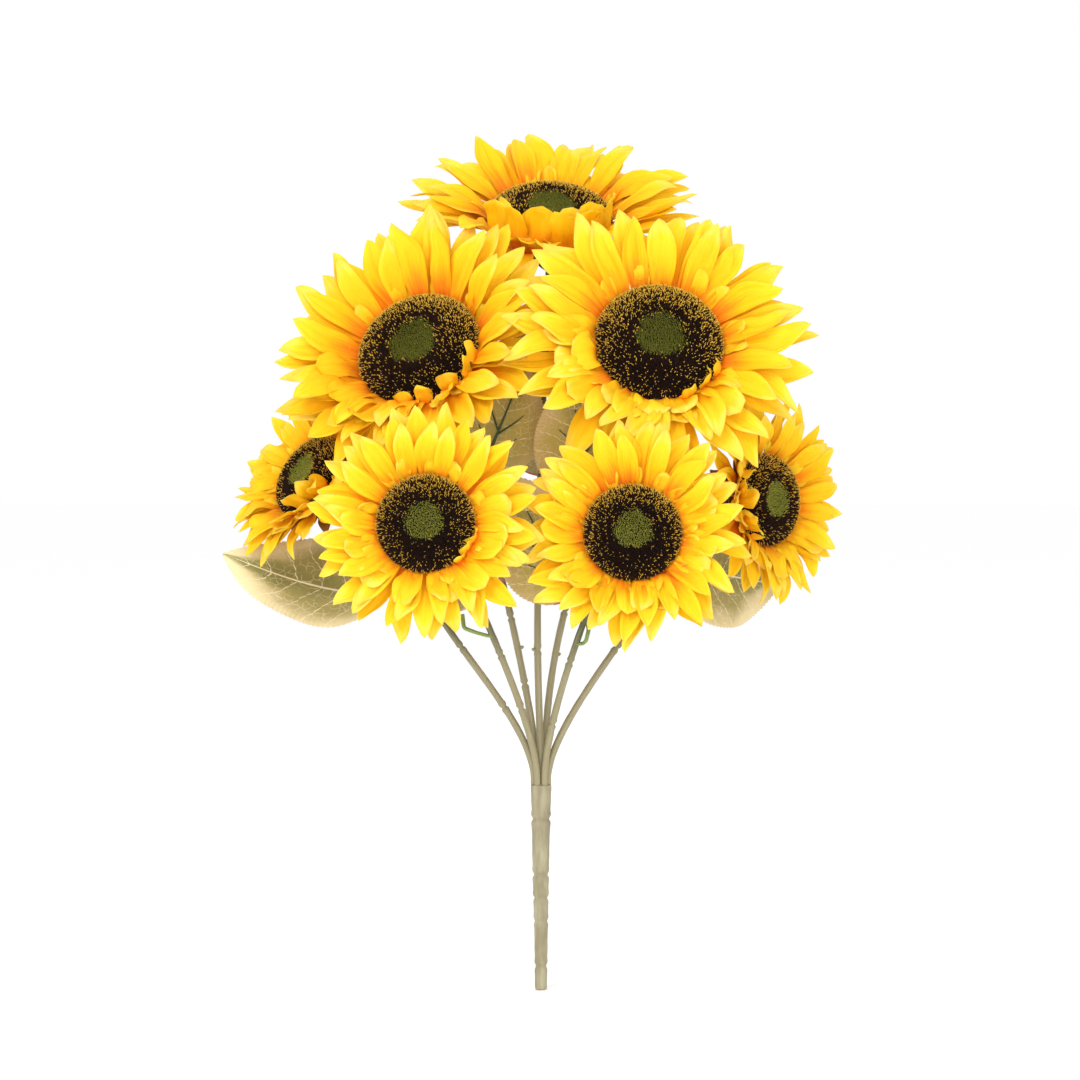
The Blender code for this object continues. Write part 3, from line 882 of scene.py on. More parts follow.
@dataclass(frozen=True)
class StemPlastic(Finish):
    """Moulded stem plastic: khaki at the crown, darker olive towards the bloom, with pale lengthwise streaks.
    """

    low: Colour = (0.300, 0.265, 0.150)
    high: Colour = (0.085, 0.090, 0.032)
    green_from: float = 0.34
    pale: Colour = (0.50, 0.46, 0.30)

    def make(self, groups: Groups) -> bpy.types.Material:
        """Returns the material."""
        material, book, shader = self.start()
        place = self.blade(book, groups)
        long_grain = book.noise(book.scaled(place.outputs["Grain"], (5.0, 9.0, 1.0)), 1.0, 3.0)
        fine = book.noise(book.scaled(place.outputs["Grain"], (16.0, 120.0, 1.0)), 1.0, 2.0)
        along = book.plus(place.outputs["Along"], book.times_plus(long_grain, 0.10, -0.05))
        colour = book.mix(book.ramp(along, self.green_from, self.green_from + 0.22), self.low, self.high)
        colour = book.mix(book.times(book.ramp(long_grain, 0.50, 0.75), 0.35), colour, self.pale)
        colour = book.mix(book.times(book.ramp(fine, 0.55, 0.80), 0.20), colour, self.high)
        book.put(shader.inputs["Base Color"], colour)
        book.put(shader.inputs["Roughness"], book.times_plus(fine, 0.20, self.roughness - 0.1))
        self.relief(book, shader, fine, 0.0003, 0.4)
        return material


@dataclass(frozen=True)
class CorePlastic(Finish):
    """Moulded plastic of the turned cores, which has its mottle by place."""

    colour: Colour = (0.375, 0.340, 0.215)
    dark: Colour = (0.245, 0.215, 0.125)
    scale: float = 160.0
    stretch: float = 0.25

    def make(self, groups: Groups) -> bpy.types.Material:
        """Returns the material."""
        material, book, shader = self.start()
        place = book.node("ShaderNodeTexCoord").outputs["Object"]
        long_grain = book.noise(book.scaled(place, (1.0, 1.0, self.stretch)), self.scale, 3.0)
        fine = book.noise(place, self.scale * 9.0, 2.0)
        colour = book.mix(book.ramp(long_grain, 0.35, 0.70), self.dark, self.colour)
        book.put(shader.inputs["Base Color"], colour)
        book.put(shader.inputs["Roughness"], book.times_plus(fine, 0.22, self.roughness - 0.11))
        height = book.times_plus(long_grain, 1.0, book.times(fine, 0.25))
        self.relief(book, shader, height, 0.0005, 0.5)
        return material


@dataclass(frozen=True)
class RibPlastic(Finish):
    """Leaf stalk and rib plastic: light green stalk, red where the blade begins, then dark green."""

    stalk: Colour = (0.240, 0.330, 0.085)
    joint: Colour = (0.420, 0.100, 0.060)
    rib: Colour = (0.040, 0.068, 0.024)

    def make(self, groups: Groups) -> bpy.types.Material:
        """Returns the material."""
        material, book, shader = self.start()
        place = self.blade(book, groups)
        colour = book.stops(place.outputs["Along"], (
            (0.10, self.stalk), (0.20, self.joint), (0.26, self.joint), (0.32, self.rib),
        ))
        fine = book.noise(book.scaled(place.outputs["Grain"], (8.0, 60.0, 1.0)), 1.0, 2.0)
        colour = book.mix(book.times(fine, 0.3), colour, self.rib)
        book.put(shader.inputs["Base Color"], colour)
        return material


@dataclass
class Finishes:
    """Every finish of the bush, built once."""

    groups: Groups = field(default_factory=Groups)
    made: dict[str, bpy.types.Material] = field(default_factory=dict)

    def get(self, finish: Finish) -> bpy.types.Material:
        """Returns the material of a finish, making it the first time."""
        if finish.name not in self.made:
            self.made[finish.name] = finish.make(self.groups)
        return self.made[finish.name]


LEMON_CLOTH = PetalCloth("petal_cloth", roughness=0.66, specular=0.18)
# The ruffs of the top and upper left blooms lie in shade: these are the lemon cloth painted orange-gold and
# amber as that shade.
SHADED_GOLD_CLOTH = PetalCloth("petal_cloth_gold_shade", roughness=0.66, specular=0.18,
                        foot=(1.0, 0.140, 0.002), low=(1.0, 0.33, 0.002), middle=(1.0, 0.500, 0.003),
                        tip=(1.0, 0.600, 0.010), pale=(1.0, 0.66, 0.035), foot_reach=0.48, glow=0.36)
SHADED_AMBER_CLOTH = PetalCloth("petal_cloth_amber_shade", roughness=0.66, specular=0.18, low=(0.96, 0.24, 0.002),
                         middle=(1.0, 0.430, 0.002), tip=(1.0, 0.580, 0.007), pale=(1.0, 0.66, 0.022),
                         foot_reach=0.46)
# The scoops at the disc's rim lie in shade: their tips and pale ends are painted dimmer than the petals' as
# that shade.
SHADED_SCOOP_CLOTH = PetalCloth("scoop_cloth_shaded", roughness=0.68, specular=0.18, foot=(0.90, 0.18, 0.002),
                         low=(0.98, 0.34, 0.003), middle=(1.0, 0.52, 0.006), tip=(0.96, 0.62, 0.020),
                         pale=(0.92, 0.66, 0.050))
DARK_PILE = BristleFlock("dark_pile", roughness=0.9, specular=0.08)
# Gold flecks: the dark root is painted shade in the pile, and the lighter tip is partly a painted highlight.
GOLD_PILE = BristleFlock("gold_pile", roughness=0.8, specular=0.08, root=(0.10, 0.045, 0.008),
                         colour=(0.92, 0.44, 0.028), tip=(1.0, 0.68, 0.095), tip_from=0.45, unevenness=0.40)
MOSS_PILE = BristleFlock("moss_pile", roughness=0.95, specular=0.1, root=(0.050, 0.060, 0.006),
                         colour=(0.110, 0.120, 0.014), tip=(0.250, 0.240, 0.040), tip_from=0.5)
PALE_MOSS_PILE = BristleFlock("pale_moss_pile", roughness=0.95, specular=0.1, root=(0.080, 0.090, 0.010),
                              colour=(0.220, 0.230, 0.026), tip=(0.440, 0.430, 0.080), tip_from=0.5)
KHAKI_LEAF_CLOTH = LeafPrint("khaki_leaf_cloth", roughness=0.72, sheen=0.1, specular=0.3, tiles=1,
                             edge=(0.56, 0.41, 0.17), olive=(0.45, 0.345, 0.085), deep=(0.290, 0.245, 0.055),
                             vein=(0.78, 0.68, 0.38), edge_from=0.50)
LEAF_CLOTH = LeafPrint("leaf_cloth", roughness=0.72, sheen=0.1, specular=0.3, tiles=1)
SEPAL_CLOTH = SepalCloth("sepal_cloth", roughness=0.7, sheen=0.1, specular=0.3)
STEM_FINISH = StemPlastic("stem_plastic", roughness=0.48, specular=0.4, tiles=1)
RIB_FINISH = RibPlastic("rib_plastic", roughness=0.5, specular=0.4)
MAIN_FINISH = CorePlastic("main_stem_plastic", roughness=0.5, specular=0.4)
PAD_FINISH = CorePlastic("disc_pad", roughness=0.95, specular=0.1, colour=(0.022, 0.010, 0.009),
                         dark=(0.012, 0.006, 0.005), scale=300.0, stretch=1.0)
CUP_FINISH = CorePlastic("calyx_cup", roughness=0.6, specular=0.3, colour=(0.13, 0.12, 0.035),
                         dark=(0.085, 0.055, 0.020), scale=200.0)


# --------------------------------------------------------------------------------------------------------
# Blades laid out as arrays
# --------------------------------------------------------------------------------------------------------


@dataclass(frozen=True)
class BladeCut:
    """The cut of a cloth blade and the faces it has."""

    rows: int  # of points along the blade
    columns: int  # of points across it
    belly: tuple[float, float]  # powers of its outline, as power_outline takes them
    foot: float  # half width at the foot, in shares of the widest
    point: float  # how far the tip is drawn in to a point
    thickness: float = 0.0004

    def half_widths(self, shares: np.ndarray) -> np.ndarray:
        """Returns half widths, about 1 at the widest, at shares of the length."""
        narrow = self.foot * (1 - shares) ** 3
        swell = power_outline(shares, self.belly) * (1 - narrow) + narrow
        return np.maximum(swell * (1 - self.point * eased((shares - 0.70) / 0.30)), 0.02)


PETAL_CUT = BladeCut(rows=17, columns=11, belly=(0.80, 0.66), foot=0.42, point=0.20)
ROUND_CUT = BladeCut(rows=13, columns=9, belly=(0.66, 0.38), foot=0.50, point=0.0)
LOBE_CUT = BladeCut(rows=13, columns=9, belly=(0.80, 0.52), foot=0.45, point=0.0)
SEPAL_CUT = BladeCut(rows=11, columns=7, belly=(0.50, 0.95), foot=0.60, point=0.2)


@dataclass(frozen=True)
class Strays:
    """How far each blade of a ring strays from the plan, in a ring of wildness 1."""

    turn: float = 0.28  # shares of a pitch
    length: float = 0.08  # shares of the length
    half_width: float = 0.12  # shares of the half width
    bends: tuple[float, float, float] = (7.0, 9.0, 16.0)  # degrees at the foot, the first third and the tip
    curl: float = 34.0  # degrees at the very tip
    lean: float = 0.13  # sideways, in shares of the length
    cup: float = 0.16
    twist: float = 30.0  # degrees


STRAYS = Strays()
PRESS_WEIGHTS = (0.8, 1.0, 1.25)  # how much a press lifts a blade's foot, its first third and its tip


@dataclass(frozen=True)
class BladeRow:
    """One ring of cloth blades round a disc."""

    cut: BladeCut
    count: int
    length: float
    half_width: float
    foot_radius: float
    foot_height: float
    bends: tuple[float, float, float]  # degrees that the foot, the first third and the tip stand up
    shift: float = 0.0  # share of a pitch that the ring is turned by
    cup: float = 0.34  # how far the edges stand up, in shares of the half width
    wild: float = 1.0  # how uneven the ring is
    press_share: float = 1.0  # share of the bloom's press that the ring feels
    curl: float = 0.0  # degrees that the very tip stands up
    hook: float = 0.15  # how far tips lean sideways, in shares of the length
    crease: float = 0.12  # depth of the lengthwise folds, in shares of the half width
    only: Arc | None = None
    never: Arc | None = None

    def drawn(self, chance: np.random.Generator, middle: float, stray: float) -> np.ndarray:
        """Returns one value for each blade, uneven about a middle."""
        return middle + stray * self.wild * chance.uniform(-1, 1, self.count)

    def lay(self, arrays: MeshArrays, chance: np.random.Generator, placed: Matrix,
            press: Press | None) -> None:
        """Adds the ring's blades to the arrays.

        Args:
            arrays: what the blades join.
            chance: source of their unevenness.
            placed: matrix from the bloom's frame to the row frame.
            press: the side where neighbours push the blades up, if any.
        """
        around, grid = self.surfaces(chance, press)
        kept = np.ones(self.count, bool)
        if self.only is not None:
            kept &= self.only.holds(around)
        if self.never is not None:
            kept &= ~self.never.holds(around)
        faces, rim = sheet_faces(self.cut.rows, self.cut.columns)
        points = move(sheet_points(grid[kept], self.cut.thickness), placed)
        dealt = chance.integers(0, TILES, self.count)[kept]
        arrays.add(points, faces, sheet_uvs(self.cut.rows, self.cut.columns, dealt, TILES), rim)

    def surfaces(self, chance: np.random.Generator, press: Press | None) -> tuple[np.ndarray, np.ndarray]:
        """Returns the blades' angles round the disc and their middle surfaces.

        Args:
            chance: source of their unevenness.
            press: the side where neighbours push the blades up, if any.

        Returns:
            (blades,) angles in radians, and (blades, rows, columns, 3) places in the bloom's frame.
        """
        pitch = 2 * math.pi / self.count
        around = pitch * (np.arange(self.count) + self.shift) + pitch * self.drawn(chance, 0.0, STRAYS.turn)
        length = self.length * self.drawn(chance, 1.0, STRAYS.length)
        half = self.half_width * self.drawn(chance, 1.0, STRAYS.half_width)
        bends = [self.drawn(chance, bend, stray) for bend, stray in zip(self.bends, STRAYS.bends)]
        angles = [np.radians(bend) for bend in bends]
        if press is not None:
            felt = press.felt(around) * self.press_share
            length = length * (1 - (1 - press.kept) * felt)
            lift = np.radians(press.lift) * felt
            angles = [angle + lift * weight for angle, weight in zip(angles, PRESS_WEIGHTS)]
        s = np.linspace(0, 1, self.cut.rows)[None]
        t = np.linspace(-1, 1, self.cut.columns)[None, None]
        rise = self.rise(s, angles, np.radians(self.drawn(chance, self.curl, STRAYS.curl)))
        step = length[:, None] / (self.cut.rows - 1)
        middle_rise = (rise[:, 1:] + rise[:, :-1]) / 2
        zero = np.zeros((self.count, 1))
        out = np.concatenate([zero, np.cumsum(np.cos(middle_rise) * step, axis=1)], axis=1)
        up = np.concatenate([zero, np.cumsum(np.sin(middle_rise) * step, axis=1)], axis=1)
        lean = self.drawn(chance, 0.0, STRAYS.lean)[:, None] * s**2
        lean = lean + self.drawn(chance, 0.0, self.hook)[:, None] * eased((s - 0.50) / 0.50) ** 1.4
        lean = lean * length[:, None]
        width = half[:, None] * self.cut.half_widths(s)
        y = width[..., None] * t
        n = width[..., None] * self.relief(chance, s[..., None], t, self.drawn(chance, self.cup, STRAYS.cup))
        twist = np.radians(self.drawn(chance, 0.0, STRAYS.twist))[:, None, None] * s[..., None] ** 1.3
        lateral = lean[..., None] + y * np.cos(twist) - n * np.sin(twist)
        lifted = y * np.sin(twist) + n * np.cos(twist)
        radial = self.foot_radius + out[..., None] - np.sin(rise)[..., None] * lifted
        axial = self.foot_height + up[..., None] + np.cos(rise)[..., None] * lifted
        turned = around[:, None, None]
        x = radial * np.cos(turned) - lateral * np.sin(turned)
        y = radial * np.sin(turned) + lateral * np.cos(turned)
        return around, np.stack((x, y, axial), axis=-1)

    @staticmethod
    def rise(s: np.ndarray, angles: list[np.ndarray], curl: np.ndarray) -> np.ndarray:
        """Returns how steeply the blades stand along their length, in radians.

        Args:
            s: (1, rows) shares of the length.
            angles: (blades,) angles of the foot, the first third and the tip.
            curl: (blades,) how much more the very tip stands up.

        Returns:
            (blades, rows) angles.
        """
        first, later = eased(s / 0.38), np.clip((s - 0.30) / 0.70, 0, 1) ** 1.2
        rise = angles[0][:, None] * (1 - first) + angles[1][:, None] * first
        rise = rise + (angles[2] - angles[1])[:, None] * later
        return rise + curl[:, None] * eased((s - 0.68) / 0.32)

    def relief(self, chance: np.random.Generator, s: np.ndarray, t: np.ndarray,
               cup: np.ndarray) -> np.ndarray:
        """Returns how far the cloth stands off its own plane, in shares of its half width.

        Args:
            chance: source of the waves' places.
            s: (1, rows, 1) shares of the length.
            t: (1, 1, columns) shares of the half width, -1 at one edge and 1 at the other.
            cup: (blades,) how far the edges stand up.

        Returns:
            (blades, rows, columns) heights.
        """
        phase, waves = chance.uniform(0, 2 * math.pi, (2, self.count, 1, 1))
        edges = cup[:, None, None] * (0.55 + 0.45 * s) * np.abs(t) ** 1.4
        wide = np.cos(math.pi * (2.3 + 0.7 * np.sin(waves)) * t + 0.9 * np.sin(phase) + 0.8 * s)
        narrow = 0.42 * np.cos(math.pi * 4.8 * t + phase + 2.0 * s)
        creases = self.crease * (wide + narrow) * np.sin(math.pi * np.clip(s, 0.04, 0.97))
        ripple = 0.13 * self.wild * np.sin(2 * math.pi * 1.7 * s + phase + 1.2 * np.sign(t)) * t**2
        buckle = 0.14 * self.wild * np.sin(2 * math.pi * 0.9 * s + waves) * (1 - t**2)
        return edges + creases + ripple + buckle


# --------------------------------------------------------------------------------------------------------
# Turned cores, modelled with the mesh operators
# --------------------------------------------------------------------------------------------------------


@dataclass(frozen=True)
class TurnedCore:
    """A round solid drawn out ring by ring from a filled circle, then set in place."""

    rings: tuple[tuple[float, float], ...]  # radius and height, from the lowest ring up
    sides: int

    def build(self, name: str) -> bpy.types.Object:
        """Returns the new object, standing on its own axis at the origin."""
        bpy.ops.object.select_all(action="DESELECT")
        radius, height = self.rings[0]
        bpy.ops.mesh.primitive_circle_add(
            vertices=self.sides, radius=radius, fill_type="NGON", location=(0.0, 0.0, height)
        )
        thing = bpy.context.object
        thing.name = thing.data.name = name
        bpy.ops.object.transform_apply(location=True, rotation=True, scale=True)
        bpy.ops.object.mode_set(mode="EDIT")
        bpy.ops.mesh.select_all(action="SELECT")
        for next_radius, next_height in self.rings[1:]:
            rise = {"value": (0.0, 0.0, next_height - height)}
            bpy.ops.mesh.extrude_region_move(TRANSFORM_OT_translate=rise)
            share = next_radius / radius
            bpy.ops.transform.resize(value=(share, share, 1.0), center_override=(0.0, 0.0, next_height))
            radius, height = next_radius, next_height
        bpy.ops.mesh.select_all(action="SELECT")
        bpy.ops.mesh.normals_make_consistent(inside=False)
        bpy.ops.object.mode_set(mode="OBJECT")
        bpy.ops.object.shade_smooth_by_angle(angle=math.radians(50))
        return thing


def settle(thing: bpy.types.Object, matrix: Matrix) -> None:
    """Puts an object's place in its mesh."""
    thing.data.transform(matrix)
    thing.matrix_world = Matrix.Identity(4)


def hand_in(thing: bpy.types.Object, material: bpy.types.Material, slot: Slot, *nodes: str) -> None:
    """Dresses a piece, rides it on the bush's body and hides the frame's nodes that it replaces.

    Args:
        thing: the finished piece.
        material: its finish.
        slot: the record's slot that the finish belongs to; not used.
        nodes: the frame's nodes that it replaces.
    """
    thing.data.materials.clear()
    thing.data.materials.append(material)
    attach(thing, BODY)
    if nodes:
        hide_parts(*nodes)
    LOG.info("%s: %d faces", thing.name, len(thing.data.polygons))


# --------------------------------------------------------------------------------------------------------
# Sub-assemblies
# --------------------------------------------------------------------------------------------------------


@dataclass(frozen=True)
class Bristle:
    """One kind of bristle."""

    label: str
    finish: BristleFlock
    foot: float  # radius at the foot
    head: float  # radius at the head, or 0 for a point
    proud: float  # how far it stands above the pile


@dataclass
class FlockedDisc:
    """A bloom's middle: a turned pad under a close pile of bristles."""

    plan: BloomPlan
    spacing: float = 0.00072  # between bristles
    moss_radius: float = 0.37  # of the green middle, in shares of the disc's
    shadow_ring_radius: float = 0.53  # within which gold is rare: a painted shadow ring round the green middle
    gold_odds: tuple[float, ...] = (0.22, 0.08, 0.26, 0.36, 0.38)  # from the green middle out to the rim, with the dip at the ring as painted shadow
    pile: float = 0.0019  # length of the bristles
    tousle: float = 0.20
    # Radius and height of the pile's face and of the pad, in shares of the disc's.
    profile: tuple[tuple[float, float], ...] = (
        (0.0, 0.86), (0.20, 0.88), (0.36, 0.95), (0.50, 1.0), (0.66, 0.955), (0.80, 0.84), (0.91, 0.66),
        (0.98, 0.42), (1.0, 0.20), (0.985, 0.0),
    )
    pad_profile: tuple[tuple[float, float], ...] = (
        (0.90, 0.0), (0.93, 0.16), (0.90, 0.40), (0.82, 0.60), (0.70, 0.76), (0.55, 0.84), (0.38, 0.82),
        (0.20, 0.74), (0.05, 0.72),
    )

    def dome(self) -> np.ndarray:
        """Returns dense (radius, height) points of the pile's face, from its middle to its rim."""
        knots = np.array(self.profile) * (self.plan.size.disc_radius, self.plan.size.disc_height)
        at = np.linspace(0, len(knots) - 1, 400)
        dense = np.stack([np.interp(at, np.arange(len(knots)), knots[:, k]) for k in range(2)], axis=1)
        kernel = np.hanning(61) / np.hanning(61).sum()
        padded = np.concatenate([dense[:30][::-1] * (-1, 1), dense, dense[-1:].repeat(30, axis=0)])
        return np.stack([np.convolve(padded[:, k], kernel, mode="valid") for k in range(2)], axis=1)

    def build_pad(self, finishes: Finishes) -> None:
        """Makes the pad that the pile stands on."""
        size = self.plan.size
        inset = self.pile * 0.9
        rings = tuple(
            (radius * size.disc_radius, max(height * size.disc_height - inset * (height > 0), 0.0))
            for radius, height in self.pad_profile
        )
        pad = TurnedCore(rings, 48).build(f"pad_{self.plan.name}")
        settle(pad, self.plan.placed())
        hand_in(pad, finishes.get(PAD_FINISH), Slot.DISC, f"disc_{self.plan.name}")

    def spots(self, chance: np.random.Generator) -> tuple[np.ndarray, np.ndarray, np.ndarray, np.ndarray]:
        """Returns where the bristles stand, spread evenly over the dome along a golden spiral.

        Args:
            chance: source of their unevenness.

        Returns:
            (bristles, 3) places of the tips, (bristles, 3) ways they stand, their distances from the axis in
            shares of the disc's radius, and their angles round it.
        """
        disc_radius = self.plan.size.disc_radius
        dome = self.dome()
        steps = np.linalg.norm(np.diff(dome, axis=0), axis=1)
        area = np.concatenate([[0.0], np.cumsum(2 * math.pi * np.maximum(dome[1:, 0], 0) * steps)])
        count = int(area[-1] / self.spacing**2)
        reached = (np.arange(count) + 0.5) / count * area[-1]
        spot = np.interp(reached, area, np.arange(len(dome)))
        radius = np.maximum(np.interp(spot, np.arange(len(dome)), dome[:, 0]), 0.0)
        height = np.interp(spot, np.arange(len(dome)), dome[:, 1])
        slope = np.gradient(dome, axis=0)
        slope /= np.linalg.norm(slope, axis=1, keepdims=True) + TINY
        lean_out = np.interp(spot, np.arange(len(dome)), -slope[:, 1])
        lean_up = np.interp(spot, np.arange(len(dome)), slope[:, 0])
        turn = GOLDEN_ANGLE * np.arange(count) + chance.normal(0, 0.35 * self.spacing / disc_radius, count)
        radius = np.maximum(radius + chance.normal(0, 0.3 * self.spacing, count), 0.0)
        direction = np.stack((lean_out * np.cos(turn), lean_out * np.sin(turn), lean_up), axis=1)
        direction = direction + chance.normal(0, self.tousle, (count, 3))
        direction /= np.linalg.norm(direction, axis=1, keepdims=True)
        tips = np.stack((radius * np.cos(turn), radius * np.sin(turn), height), axis=1)
        return tips, direction, radius / disc_radius, turn

    def build_pile(self, finishes: Finishes, chance: np.random.Generator) -> None:
        """Makes the three colours of pile: plum brown, gold and the moss green middle."""
        size = self.plan.size
        tips, direction, share, turn = self.spots(chance)
        ragged = share + chance.normal(0, 0.035, len(share))
        ragged += 0.02 * np.sin(3 * turn) + 0.014 * np.sin(7 * turn + 1)
        moss = ragged < self.moss_radius
        # More gold flecks towards the top of the disc and fewer below: painted light, as the flecks catch the
        # light from above.
        above = 0.5 + 0.5 * np.sin(turn)
        rings = (self.moss_radius, self.shadow_ring_radius - 0.05, self.shadow_ring_radius + 0.08, 0.80, 1.0)
        odds = np.interp(share, rings, self.gold_odds) * (0.20 + 0.80 * above**1.1)
        gold = ~moss & (chance.uniform(size=len(share)) < odds)
        moss_finish = PALE_MOSS_PILE if size.pale_moss else MOSS_PILE
        kinds = (
            (Bristle("pile_dark", DARK_PILE, foot=0.00046, head=0.0, proud=0.0002), ~moss & ~gold),
            (Bristle("pile_gold", GOLD_PILE, foot=0.00011, head=size.fleck, proud=0.00055), gold),
            (Bristle("pile_moss", moss_finish, foot=0.00036, head=0.00020, proud=-0.0002), moss),
        )
        for bristle, chosen in kinds:
            arrays = MeshArrays()
            self.lay_bristles(arrays, chance, tips[chosen], direction[chosen], bristle)
            piece = arrays.build(f"{bristle.label}_{self.plan.name}")
            hand_in(piece, finishes.get(bristle.finish), Slot.DISC, f"disc_{self.plan.name}")

    def lay_bristles(self, arrays: MeshArrays, chance: np.random.Generator, tips: np.ndarray,
                     direction: np.ndarray, bristle: Bristle) -> None:
        """Adds three-sided bristles to the arrays.

        Args:
            arrays: what the bristles join.
            chance: source of their unevenness.
            tips: (bristles, 3) places of the tips when none stands proud.
            direction: (bristles, 3) ways they stand.
            bristle: their kind.
        """
        count = len(tips)
        side = np.cross(direction, chance.normal(0, 1, (count, 3)))
        side /= np.linalg.norm(side, axis=1, keepdims=True)
        other = np.cross(direction, side)
        tall = self.pile * chance.uniform(0.8, 1.15, (count, 1))
        ends = tips + direction * (bristle.proud + self.pile * chance.uniform(-0.22, 0.12, (count, 1)))
        corners = []
        for centre, radius in ((ends - direction * tall, bristle.foot), (ends, bristle.head)):
            for i in range(3 if radius > 0 else 1):
                angle = 2 * math.pi * i / 3
                corners.append(centre + radius * (math.cos(angle) * side + math.sin(angle) * other))
        points = move(np.stack(corners, axis=1), self.plan.placed())
        if bristle.head > 0:
            faces = [np.array([(i, (i + 1) % 3, (i + 1) % 3 + 3, i + 3) for i in range(3)]),
                     np.array([(3, 4, 5), (2, 1, 0)])]
        else:
            faces = [np.array([(0, 1, 3), (1, 2, 3), (2, 0, 3), (2, 1, 0)])]
        tile = chance.integers(0, TILES, count)[:, None]
        tops = len(corners) - 3
        u = (np.array((0.2, 0.5, 0.8, 0.2, 0.5, 0.8))[None, : 3 + tops] + tile) / TILES
        v = np.broadcast_to(np.array((0.02,) * 3 + (0.98,) * tops)[None], u.shape)
        arrays.add(points, faces, np.stack((u, v), axis=-1), np.ones(3 + tops, bool))


@dataclass
class Calyx:
    """The moulded cup behind a bloom's petals and the sepals on it."""

    plan: BloomPlan
    # Radius and height of the cup, in shares of the disc's radius and of the calyx's depth.
    profile: tuple[tuple[float, float], ...] = (
        (0.10, -1.0), (0.12, -0.97), (0.17, -0.90), (0.30, -0.78), (0.44, -0.62), (0.55, -0.42),
        (0.66, -0.22), (0.82, -0.10), (0.95, -0.03), (0.97, 0.0),
    )
    plate_edge: float = 0.90  # radius of the disc of cup inside the petals, in shares of the disc's
    sepals: int = 10  # in each ring
    # Shift of a ring in shares of a pitch, its bends, and its length in shares of the disc's radius.
    rings: tuple[tuple[float, tuple[float, float, float], float], ...] = (
        (0.0, (20, 4, -6), 0.98), (0.5, (34, 16, 4), 0.90), (0.25, (40, 24, 12), 0.84),
    )

    def build(self, finishes: Finishes, chance: np.random.Generator) -> None:
        """Makes and dresses the cup and the sepals.

        Args:
            finishes: the bush's finishes.
            chance: source of the sepals' unevenness.
        """
        top, radius, depth = -PETAL_PLATE - 2 * GAP, self.plan.size.disc_radius, self.plan.size.calyx_depth
        wall = tuple((across * radius, top + height * depth) for across, height in self.profile)
        plate = (self.plate_edge * radius, -PETAL_PLATE)
        cup = TurnedCore((*wall, plate), 40).build(f"cup_of_{self.plan.name}")
        settle(cup, self.plan.placed())
        hand_in(cup, finishes.get(CUP_FINISH), Slot.CALYX, f"calyx_{self.plan.name}")
        arrays = MeshArrays()
        for shift, bends, length in self.rings:
            row = BladeRow(SEPAL_CUT, self.sepals, radius * length, radius * 0.20, radius * 0.42,
                           top - 0.60 * depth, bends, shift, cup=0.30, wild=1.2, hook=0.05, crease=0.05)
            row.lay(arrays, chance, self.plan.placed(), None)
        piece = arrays.build(f"sepals_of_{self.plan.name}")
        hand_in(piece, finishes.get(SEPAL_CLOTH), Slot.CALYX, f"calyx_{self.plan.name}")


@dataclass(frozen=True)
class Ring:
    """The plan of one ring of petals, in shares of its bloom's own sizes."""

    count: int
    length: float  # shares of the way from the disc to the tips of flat petals
    width: float
    height: float  # of the feet over the disc's foot, in metres
    bends: tuple[float, float, float]  # degrees that the foot, the first third and the tip stand up
    shift: float  # share of a pitch that the ring is turned by
    press: float = 1.0  # share of the bloom's press that it feels


